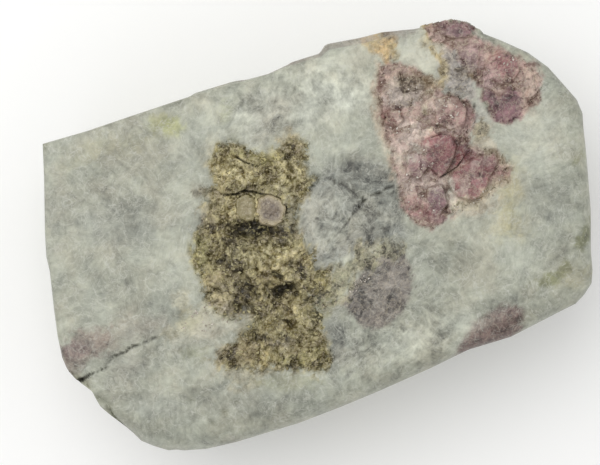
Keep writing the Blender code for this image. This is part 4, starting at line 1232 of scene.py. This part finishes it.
def weighted(tree, start, parts):
    """start plus how far each part's value is above 0.5, times the part's weight."""
    total = start
    for value, weight in parts:
        centred = add(tree, "Math", {0: value, 1: -0.5}, operation="ADD").outputs[0]
        total = add(tree, "Math", {0: centred, 1: weight, 2: total}, operation="MULTIPLY_ADD").outputs[0]
    return total


def painted(tree, base, layers):
    """Lays colours over a base colour, each as far as the product of its shares says."""
    colour = base
    for over, share, *more in layers:
        for factor in more:
            share = add(tree, "Math", {0: share, 1: factor}, operation="MULTIPLY").outputs[0]
        colour = add(tree, "Mix", {0: share, 6: colour, 7: over}, data_type="RGBA").outputs[2]
    return colour


def patterns(tree):
    """The patterns that all the minerals share, each from 0 to 1 around a middle of 0.5."""
    place = millimetres(tree)
    bend = add(tree, "TexNoise", {"Vector": place, "Scale": 1 / 5.0, "Detail": 3.0}).outputs["Color"]
    shift = add(tree, "VectorMath", {0: bend, 1: (0.5, 0.5, 0.5)}, operation="SUBTRACT").outputs[0]
    inputs = {0: shift, 1: (9.0, 9.0, 9.0), 2: place}
    bent = add(tree, "VectorMath", inputs, operation="MULTIPLY_ADD").outputs[0]
    found = {"place": place, "bent": bent}
    # The size of each is in mm. Real grit is finer, and is drawn as coarse as it needs to show.
    for name, source, size, detail, roughness in (
        ("clouds", place, 9.0, 5.0, 0.6),
        ("zones", bent, 4.5, 3.0, 0.55),
        ("mottle", bent, 2.2, 4.0, 0.65),
        ("fine", place, 0.9, 3.0, 0.6),
        ("grit", place, 0.38, 2.0, 0.6),
        ("hue", place, 6.0, 4.0, 0.6),
    ):
        inputs = {"Vector": source, "Scale": 1 / size, "Detail": detail, "Roughness": roughness}
        found[name] = add(tree, "TexNoise", inputs).outputs[0]
    # Grains about 0.8 mm across, whose sides are made uneven by a push.
    push = add(tree, "TexNoise", {"Vector": place, "Scale": 1 / 1.3, "Detail": 2.0}).outputs["Color"]
    inputs = {0: push, 1: (1.6, 1.6, 1.6), 2: place}
    nudged = add(tree, "VectorMath", inputs, operation="MULTIPLY_ADD").outputs[0]
    cells = add(tree, "TexVoronoi", {"Vector": nudged, "Scale": 1 / 0.8}).outputs["Color"]
    found["cells"] = add(tree, "SeparateColor", {"Color": cells}).outputs[0]
    return found


def cleavage(tree, place, bent):
    """Faint straight streaks, turned another way in each grain of feldspar, 7 mm across."""
    grains = add(tree, "TexVoronoi", {"Vector": bent, "Scale": 1 / 7.0}).outputs["Color"]
    parts = add(tree, "SeparateColor", {"Color": grains})
    angle = add(tree, "Math", {0: parts.outputs[0], 1: math.pi}, operation="MULTIPLY").outputs[0]
    inputs = {"Vector": place, "Angle": angle}
    turned = add(tree, "VectorRotate", inputs, rotation_type="Z_AXIS").outputs[0]
    drawn = add(tree, "VectorMath", {0: turned, 1: (1.7, 0.35, 0.6)}, operation="MULTIPLY").outputs[0]
    inputs = {"Vector": drawn, "Scale": 1.0, "Detail": 4.0, "Roughness": 0.6}
    return add(tree, "TexNoise", inputs).outputs[0]


def threads(tree, place, size, width):
    """1 along thin winding lines about size mm apart, and 0 between them."""
    inputs = {"Vector": place, "Scale": 1 / size, "Detail": 3.0, "Roughness": 0.55}
    wave = add(tree, "TexNoise", inputs).outputs[0]
    away = add(tree, "Math", {0: wave, 1: 0.5}, operation="SUBTRACT").outputs[0]
    away = add(tree, "Math", {0: away}, operation="ABSOLUTE").outputs[0]
    return add(tree, "MapRange", {"Value": away, "From Min": width, "From Max": 0.0}).outputs["Result"]


def healed_seams(tree, bent, mottle):
    """1 along seams about 4.5 mm apart where the rock healed, broken off here and there."""
    inputs = {"Vector": bent, "Scale": 1 / 4.5}
    seam = add(tree, "TexVoronoi", inputs, feature="DISTANCE_TO_EDGE").outputs[0]
    seam = add(tree, "MapRange", {"Value": seam, "From Min": 0.03, "From Max": 0.0}).outputs["Result"]
    healed = add(tree, "MapRange", {"Value": mottle, "From Min": 0.44, "From Max": 0.58}).outputs["Result"]
    return add(tree, "Math", {0: seam, 1: healed}, operation="MULTIPLY").outputs[0]


def rock_material():
    """Albite feldspar and quartz, sawn and ground: a cloudy grey-green stone with a satin
    surface, faint cleavage streaks and fine pale threads. Where the mesh says so it is broken
    tourmaline or a crust of mica: grains with painted shade in their creases and painted light
    along their crests, and pale flecks that are partly pale grains and partly painted glints."""
    material, tree = fresh_material("Ground albite and quartz")
    found = patterns(tree)
    place, bent, zones, mottle = found["place"], found["bent"], found["zones"], found["mottle"]
    fine, grit = found["fine"], found["grit"]
    streaks = cleavage(tree, place, bent)
    contrast, grain, light, painted_shade, crease_shading = (
        add(tree, "Attribute", attribute_name=name).outputs["Fac"]
        for name in ("contrast", "grain", "light", "painted_shade", "crease_shading")
    )
    smooth_share = add(tree, "Math", {0: 1.0, 1: grain}, operation="SUBTRACT").outputs[0]

    # How light it is: soft clouds on the ground rock, and painted shade in the creases between broken
    # grains with painted light along their crests.
    clouds = [(found["clouds"], 0.6), (zones, 0.45), (streaks, 0.4), (mottle, 0.55)]
    clouds += [(fine, 0.42), (grit, 0.1)]
    grains = [(zones, 0.35), (mottle, 0.55), (found["cells"], 0.45), (fine, 0.5), (grit, 0.45)]
    # Painted shade in the creases of the crusts, and painted light along their crests.
    dark = add(tree, "Math", {0: crease_shading, 1: 0.42}, operation="MULTIPLY").outputs[0]
    inputs = {0: grain, 2: weighted(tree, 0.0, clouds), 3: weighted(tree, dark, grains)}
    spread = add(tree, "Mix", inputs, data_type="FLOAT").outputs[0]
    lift = add(tree, "Math", {0: light, 1: 0.17}, operation="MULTIPLY").outputs[0]
    level = add(tree, "Math", {0: spread, 1: contrast, 2: lift}, operation="MULTIPLY_ADD").outputs[0]
    inputs = {"Value": level, "From Min": -0.5, "From Max": 0.7, "To Min": 0.22, "To Max": 2.2}
    gain = add(tree, "MapRange", inputs).outputs["Result"]

    # The mineral's own colour, which the darker tones between its grains keep, the painted crease shade
    # among them.
    hues = [(0.36, "#f8fbfa"), (0.5, "#fcfdf9"), (0.64, "#fffcf6")]
    hue = add(tree, "ValToRGB", {0: found["hue"]}, hues)
    tint = add(tree, "Attribute", attribute_name="tint").outputs["Color"]
    tint = add(tree, "VectorMath", {0: tint, 1: hue.outputs[0]}, operation="MULTIPLY").outputs[0]
    base = add(tree, "VectorMath", {0: tint, "Scale": gain}, operation="SCALE").outputs[0]
    deeper = add(tree, "VectorMath", {0: tint, "Scale": 4.0}, operation="SCALE").outputs[0]
    hollow = add(tree, "MapRange", {"Value": gain, "From Min": 0.9, "From Max": 0.2}).outputs["Result"]
    deeper = painted(tree, linear("#ffffff"), [(deeper, hollow, grain)])
    base = add(tree, "VectorMath", {0: base, 1: deeper}, operation="MULTIPLY").outputs[0]

    # Pale flecks on the grains: partly pale grains, partly painted glints.
    fleck = add(tree, "MapRange", {"Value": grit, "From Min": 0.61, "From Max": 0.69}).outputs["Result"]
    colour = painted(
        tree, base,
        [
            (linear("#c4b8a0"), threads(tree, place, 1.5, 0.035), grain, 0.45),
            (linear("#c3c4ba"), healed_seams(tree, bent, mottle), smooth_share, 0.5),
            (linear("#bfbfb3"), threads(tree, bent, 5.0, 0.012), smooth_share, 0.45),
            (linear("#b9b9ae"), threads(tree, place, 2.0, 0.018), smooth_share, 0.35),
            (linear("#c2b6a2"), fleck, grain, 0.4),
            # Painted shade, near black, in the cracks, the deep hollow and round the crystals.
            (linear("#211d14"), painted_shade),
        ],
    )
    rock_height = weighted(tree, 0.0, [(grit, 0.3), (streaks, 0.5), (mottle, 0.5)])
    grain_height = weighted(tree, 0.0, [(grit, 1.2), (fine, 1.0)])
    relief = add(tree, "Mix", {0: grain, 2: rock_height, 3: grain_height}, data_type="FLOAT").outputs[0]
    bump = add(tree, "Bump", {"Height": relief, "Strength": 0.7, "Distance": 0.25 * MM}).outputs[0]
    gloss = weighted(tree, 0.48, [(mottle, 0.35), (grit, 0.4)])
    surface = {"Base Color": colour, "Roughness": gloss, "IOR": 1.53, "Normal": bump}
    shader = add(tree, "BsdfPrincipled", surface)
    add(tree, "OutputMaterial", {"Surface": shader.outputs[0]})
    return material


def crystal_material(name, stops, rim_colour):
    """A blocky feldspar crystal, clouded and worn, with paler edges and pale flecks that are partly painted
    glints.
    """
    material, tree = fresh_material(name)
    found = patterns(tree)
    fine, grit = found["fine"], found["grit"]
    level = weighted(tree, 0.5, [(found["mottle"], 0.9), (fine, 0.9), (grit, 0.7)])
    inward = add(tree, "Attribute", attribute_name="inward").outputs["Fac"]
    inward = weighted(tree, inward, [(fine, 1.6)])
    rim = add(tree, "MapRange", {"Value": inward, "From Min": 1.0, "From Max": 0.3}).outputs["Result"]
    # Pale flecks: partly pale grains, partly painted glints.
    fleck = add(tree, "MapRange", {"Value": grit, "From Min": 0.60, "From Max": 0.70}).outputs["Result"]
    base = add(tree, "ValToRGB", {0: level}, stops).outputs[0]
    colour = painted(tree, base, [(linear(rim_colour), rim, 0.75), (linear("#c9bfae"), fleck, 0.3)])
    relief = weighted(tree, 0.0, [(grit, 0.8), (fine, 0.8)])
    bump = add(tree, "Bump", {"Height": relief, "Strength": 0.6, "Distance": 0.2 * MM}).outputs[0]
    gloss = weighted(tree, 0.34, [(fine, 0.5)])
    shader = add(
        tree, "BsdfPrincipled",
        {
            "Base Color": colour, "Roughness": gloss, "IOR": 1.53, "Normal": bump,
            "Subsurface Weight": 0.15, "Subsurface Radius": (1.0, 0.8, 0.8), "Subsurface Scale": 0.8 * MM,
        },
    )
    add(tree, "OutputMaterial", {"Surface": shader.outputs[0]})
    return material


def mica_material():
    """Muscovite mica weathered olive: small plates with a pearly gloss, from straw to brown."""
    material, tree = fresh_material("Muscovite mica plates")
    tone = add(tree, "Attribute", attribute_name="tone").outputs["Fac"]
    inputs = {"Vector": millimetres(tree), "Scale": 1 / 0.35, "Detail": 2.0}
    fleck = add(tree, "TexNoise", inputs).outputs[0]
    tones = [(0.0, "#584f2f"), (0.25, "#736a48"), (0.5, "#8d8561"), (0.75, "#a69e76"), (1.0, "#c0b78c")]
    colour = add(tree, "ValToRGB", {0: weighted(tree, tone, [(fleck, 0.5)])}, tones).outputs[0]
    bump = add(tree, "Bump", {"Height": fleck, "Strength": 0.4, "Distance": 0.1 * MM}).outputs[0]
    gloss = weighted(tree, 0.5, [(fleck, 0.4)])
    surface = {"Base Color": colour, "Roughness": gloss, "IOR": 1.58, "Normal": bump}
    shader = add(tree, "BsdfPrincipled", surface)
    add(tree, "OutputMaterial", {"Surface": shader.outputs[0]})
    return material


def crumb_material():
    """Crushed quartz: small glassy white crumbs that catch the light."""
    material, tree = fresh_material("Crushed quartz")
    tone = add(tree, "Attribute", attribute_name="tone").outputs["Fac"]
    tones = [(0.0, "#8a7f76"), (0.5, "#a99f94"), (1.0, "#d0c8bd")]
    colour = add(tree, "ValToRGB", {0: tone}, tones).outputs[0]
    shader = add(tree, "BsdfPrincipled", {"Base Color": colour, "Roughness": 0.3, "IOR": 1.54})
    add(tree, "OutputMaterial", {"Surface": shader.outputs[0]})
    return material


def place_in_scene(name, mesh, material, sharp_angle=0.6):
    """Puts a mesh into the scene. Edges bent by more than the angle, in radians, stay sharp."""
    mesh.shade_smooth()
    mesh.set_sharp_from_angle(angle=sharp_angle)
    mesh.materials.append(material)
    piece = bpy.data.objects.new(name, mesh)
    bpy.context.scene.collection.objects.link(piece)
    return piece


def colour_setting(name, description, mineral):
    """A colour that a user can change, starting from the mineral's own."""
    start = linear(MINERALS[mineral][0])[:3]
    return FloatVectorProperty(
        name=name, description=description, subtype="COLOR", min=0.0, max=1.0, default=start
    )


class StoneSettings(bpy.types.PropertyGroup):
    """Sizes and colours of the block."""

    step: FloatProperty(
        name="Point spacing", description="Space between points on the face, in mm", default=0.33
    )
    crust_step: FloatProperty(
        name="Crust spacing", description="Space between points on the crusts, in mm", default=0.14
    )
    albite: colour_setting("Rock", "Colour of the ground rock", "albite")
    quartz: colour_setting("Grey quartz", "Colour of the blue-grey quartz", "quartz")
    lavender: colour_setting("Lilac patch", "Colour of the lilac patch", "lavender")
    gold: colour_setting("Gold stain", "Colour of the iron stain", "gold")
    tourmaline: colour_setting("Tourmaline", "Main colour of the tourmaline", "tourmaline")
    wine: colour_setting("Wine crystals", "Colour of the darker tourmaline crystals", "wine")
    mica: colour_setting("Mica", "Main colour of the mica", "mica")

    def palette(self):
        """The linear colour of every mineral, with the ones set here."""
        colours = {name: np.array(linear(look[0])[:3]) for name, look in MINERALS.items()}
        for name in ("albite", "quartz", "lavender", "gold", "tourmaline", "wine", "mica"):
            colours[name] = np.array(getattr(self, name))
        return colours


class MicaSettings(bpy.types.PropertyGroup):
    """Sizes of the mica plates."""

    count: IntProperty(name="Plates", description="How many plates of mica line the hollow", default=1300)
    width: FloatProperty(name="Width", description="Mean width of a plate in mm", default=0.45)
    crumbs: IntProperty(
        name="Crumbs", description="How many crumbs of quartz lie where the stone is crushed", default=260
    )


class StageSettings(bpy.types.PropertyGroup):
    """The camera, the lights and the floor."""

    distance: FloatProperty(
        name="Camera distance", description="From the face to the camera, in m", default=0.42, unit="LENGTH"
    )
    lean: FloatProperty(
        name="Camera lean", description="How far the camera leans towards the far left",
        default=math.radians(2.6), subtype="ANGLE",
    )
    turn: FloatProperty(
        name="Picture turn", description="How far the stone is turned in the picture",
        default=math.radians(PICTURE_TURN), subtype="ANGLE",
    )
    key: FloatProperty(name="Key light", description="Power of the main light in W", default=1.6)
    sky: FloatProperty(
        name="Sky light", description="Strength of the even light from all round", default=0.72
    )


class TOURMALINE_OT_rock(bpy.types.Operator):
    """Makes the block of rock with its tourmaline"""

    bl_idname = "tourmaline.rock"
    bl_label = "Rock"

    def execute(self, context):
        settings = context.scene.stone_settings
        material = rock_material()
        palette = settings.palette()
        piece = place_in_scene("rock", stone_mesh(settings.step, palette), material)
        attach(piece, "root")
        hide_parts("tourmaline_stone")
        for name, patches, layers, seed, crease_shade_strength in (
            ("mica_crust", [MICA], MICA_LUMPS, MICA_LUMPS_SEED, 1.0),
            ("tourmaline_crust", TOURMALINE, TOURMALINE_LUMPS, TOURMALINE_LUMPS_SEED, 0.2),
        ):
            mesh = crust_mesh(name, patches, layers, seed, crease_shade_strength, settings.crust_step, palette)
            crust = place_in_scene(name, mesh, material, 0.9)
            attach(crust, "root")
        return {"FINISHED"}


class TOURMALINE_OT_crystals(bpy.types.Operator):
    """Sets the two blocky crystals on the ledge in the hollow"""

    bl_idname = "tourmaline.crystals"
    bl_label = "Crystals"

    def execute(self, context):
        for name, material, outline, rise in (
            ("lilac_crystal", crystal_material("Clouded lilac feldspar", *LILAC), BLOCKS[0], (0.10, -0.14)),
            ("tan_crystal", crystal_material("Clouded tan feldspar", *TAN), BLOCKS[1], (-0.10, 0.12)),
        ):
            crystal = place_in_scene(name, block_mesh(name, outline, rise), material, 0.5)
            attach(crystal, "root")
        return {"FINISHED"}


class TOURMALINE_OT_mica(bpy.types.Operator):
    """Lines the hollow with plates of mica"""

    bl_idname = "tourmaline.mica"
    bl_label = "Mica"

    def execute(self, context):
        settings = context.scene.mica_settings
        rng = np.random.default_rng(7)
        outline = np.array(MICA)
        low, high = outline.min(0), outline.max(0)
        centres = rng.uniform(low, high, (settings.count * 4, 2))
        depth = inside(centres, MICA)
        centres = centres[depth + rng.uniform(-0.6, 0.6, len(depth)) > 0.25][: settings.count]
        edge = all_round(stone_outline(COARSE_STEP))
        heights = face_height(centres, edge) + PLATE_RISE + lumps(centres, MICA_LUMPS, MICA_LUMPS_SEED)
        in_block = furthest_in(centres, BLOCKS) > -0.3
        centres, heights = centres[~in_block], heights[~in_block]
        count = len(centres)
        sizes = settings.width * rng.uniform(0.55, 1.45, count)
        thick = sizes * rng.uniform(0.2, 0.5, count)
        tilts = rng.uniform(0.1, 0.9, count)
        patchy = 0.2 * facets(centres, 3.0, PLATE_TONE_SEED)
        tones = np.clip(0.5 + patchy + rng.normal(0, 0.15, count), 0, 1)
        mesh = grain_mesh("mica_plates", centres, heights, sizes, thick, tilts, tones, 4, rng)
        piece = place_in_scene("mica_plates", mesh, mica_material(), 0.3)
        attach(piece, "root")
        return {"FINISHED"}


class TOURMALINE_OT_crumbs(bpy.types.Operator):
    """Scatters glassy crumbs of quartz where the stone is crushed"""

    bl_idname = "tourmaline.crumbs"
    bl_label = "Quartz crumbs"

    def execute(self, context):
        settings = context.scene.mica_settings
        rng = np.random.default_rng(11)
        edge = all_round(stone_outline(COARSE_STEP))
        centres = []
        for shape, share in CRUSHED:
            corners = np.array(shape)
            tried = rng.uniform(corners.min(0), corners.max(0), (int(settings.crumbs * share * 3), 2))
            inner = tried[depth_in(tried, shape) + 0.5 * facets(tried, 1.3, CRUMB_SEED) > 0.2]
            centres.append(inner[: int(settings.crumbs * share)])
        centres = np.vstack(centres)
        in_patch = furthest_in(centres, TOURMALINE) > 0.0
        crust = CRUST_RISE + lumps(centres, TOURMALINE_LUMPS, TOURMALINE_LUMPS_SEED)
        heights = face_height(centres, edge) + np.where(in_patch, crust, 0.0)
        count = len(centres)
        sizes = rng.uniform(0.12, 0.40, count)
        tones = np.clip(rng.normal(0.6, 0.25, count), 0, 1)
        thick = sizes * rng.uniform(0.4, 0.8, count)
        tilts = rng.uniform(0.0, 1.2, count)
        mesh = grain_mesh("quartz_crumbs", centres, heights, sizes, thick, tilts, tones, 5, rng)
        piece = place_in_scene("quartz_crumbs", mesh, crumb_material(), 0.3)
        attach(piece, "root")
        return {"FINISHED"}


class TOURMALINE_OT_stage(bpy.types.Operator):
    """Sets up the floor, the lights and the camera"""

    bl_idname = "tourmaline.stage"
    bl_label = "Stage"

    def execute(self, context):
        scene = context.scene
        settings = scene.stage_settings
        scene.view_settings.view_transform = "Standard"
        turn = settings.turn
        right = np.array([math.cos(turn), -math.sin(turn), 0.0])
        up = np.array([math.sin(turn), math.cos(turn), 0.0])
        straight = np.array([0.0, 0.0, 1.0])
        self.add_floor(scene)
        self.add_camera(scene, settings, right, up, straight)
        world = bpy.data.worlds.new("soft sky")
        world.use_nodes = True
        world.node_tree.nodes["Background"].inputs["Color"].default_value = (1.0, 1.0, 1.0, 1.0)
        world.node_tree.nodes["Background"].inputs["Strength"].default_value = settings.sky
        scene.world = world
        lamp = bpy.data.lights.new("softbox", "AREA")
        lamp.shape = "SQUARE"
        lamp.size = SOFTBOX_SIZE
        lamp.energy = settings.key
        softbox = bpy.data.objects.new("softbox", lamp)
        place = SOFTBOX_PLACE @ np.array([right, up, straight])
        softbox.matrix_world = looking(place, np.array([0.0, 0.0, THICKNESS * MM]), up)
        scene.collection.objects.link(softbox)
        return {"FINISHED"}

    def add_floor(self, scene):
        mesh = bpy.data.meshes.new("floor")
        half = FLOOR_SIZE / 2
        corners = [(-half, -half, 0.0), (half, -half, 0.0), (half, half, 0.0), (-half, half, 0.0)]
        mesh.from_pydata(corners, [], [(0, 1, 2, 3)])
        material, tree = fresh_material("Matt white paper")
        shader = add(tree, "BsdfPrincipled", {"Base Color": linear("#fbfbfa"), "Roughness": 0.9})
        add(tree, "OutputMaterial", {"Surface": shader.outputs[0]})
        mesh.materials.append(material)
        floor = bpy.data.objects.new("floor", mesh)
        scene.collection.objects.link(floor)

    def add_camera(self, scene, settings, right, up, straight):
        aim = np.array([*AIM, THICKNESS]) * MM
        aside = up * 0.8 - right * 0.6
        towards = aside * math.sin(settings.lean) + straight * math.cos(settings.lean)
        data = bpy.data.cameras.new("camera")
        data.sensor_width = SENSOR_WIDTH
        data.lens = SENSOR_WIDTH * settings.distance / WIDTH_SHOWN
        camera = bpy.data.objects.new("camera", data)
        camera.matrix_world = looking(aim + towards * settings.distance, aim, up)
        scene.collection.objects.link(camera)
        scene.camera = camera


def looking(place, aim, up):
    """The placement of a camera or a lamp at place that looks at aim, with up at the top."""
    back = (place - aim) / np.linalg.norm(place - aim)
    side = np.cross(up, back)
    side /= np.linalg.norm(side)
    top = np.cross(back, side)
    rows = [[side[i], top[i], back[i], place[i]] for i in range(3)] + [[0.0, 0.0, 0.0, 1.0]]
    return Matrix(rows)


class TOURMALINE_PT_panel(bpy.types.Panel):
    """Lists the steps that make the stone"""

    bl_idname = "TOURMALINE_PT_panel"
    bl_label = "Tourmaline"
    bl_space_type = "VIEW_3D"
    bl_region_type = "UI"
    bl_category = "Tourmaline"

    def draw(self, context):
        scene = context.scene
        groups = (("rock", "stone_settings"), ("mica", "mica_settings"), ("stage", "stage_settings"))
        for operator, group in groups:
            box = self.layout.box()
            settings = getattr(scene, group)
            for name in settings.bl_rna.properties.keys():
                if name not in ("rna_type", "name"):
                    box.prop(settings, name)
            box.operator(f"tourmaline.{operator}")
        for operator in ("crystals", "crumbs"):
            self.layout.operator(f"tourmaline.{operator}")


CLASSES = (
    StoneSettings,
    MicaSettings,
    StageSettings,
    TOURMALINE_OT_rock,
    TOURMALINE_OT_crystals,
    TOURMALINE_OT_mica,
    TOURMALINE_OT_crumbs,
    TOURMALINE_OT_stage,
    TOURMALINE_PT_panel,
)


def register():
    for cls in CLASSES:
        bpy.utils.register_class(cls)
    bpy.types.Scene.stone_settings = PointerProperty(type=StoneSettings)
    bpy.types.Scene.mica_settings = PointerProperty(type=MicaSettings)
    bpy.types.Scene.stage_settings = PointerProperty(type=StageSettings)


def unregister():
    del bpy.types.Scene.stage_settings
    del bpy.types.Scene.mica_settings
    del bpy.types.Scene.stone_settings
    for cls in reversed(CLASSES):
        bpy.utils.unregister_class(cls)


def main():
    register()
    bpy.ops.tourmaline.rock()
    bpy.ops.tourmaline.crystals()
    bpy.ops.tourmaline.mica()
    bpy.ops.tourmaline.crumbs()
    bpy.ops.tourmaline.stage()


if __name__ == "__main__":
    main()
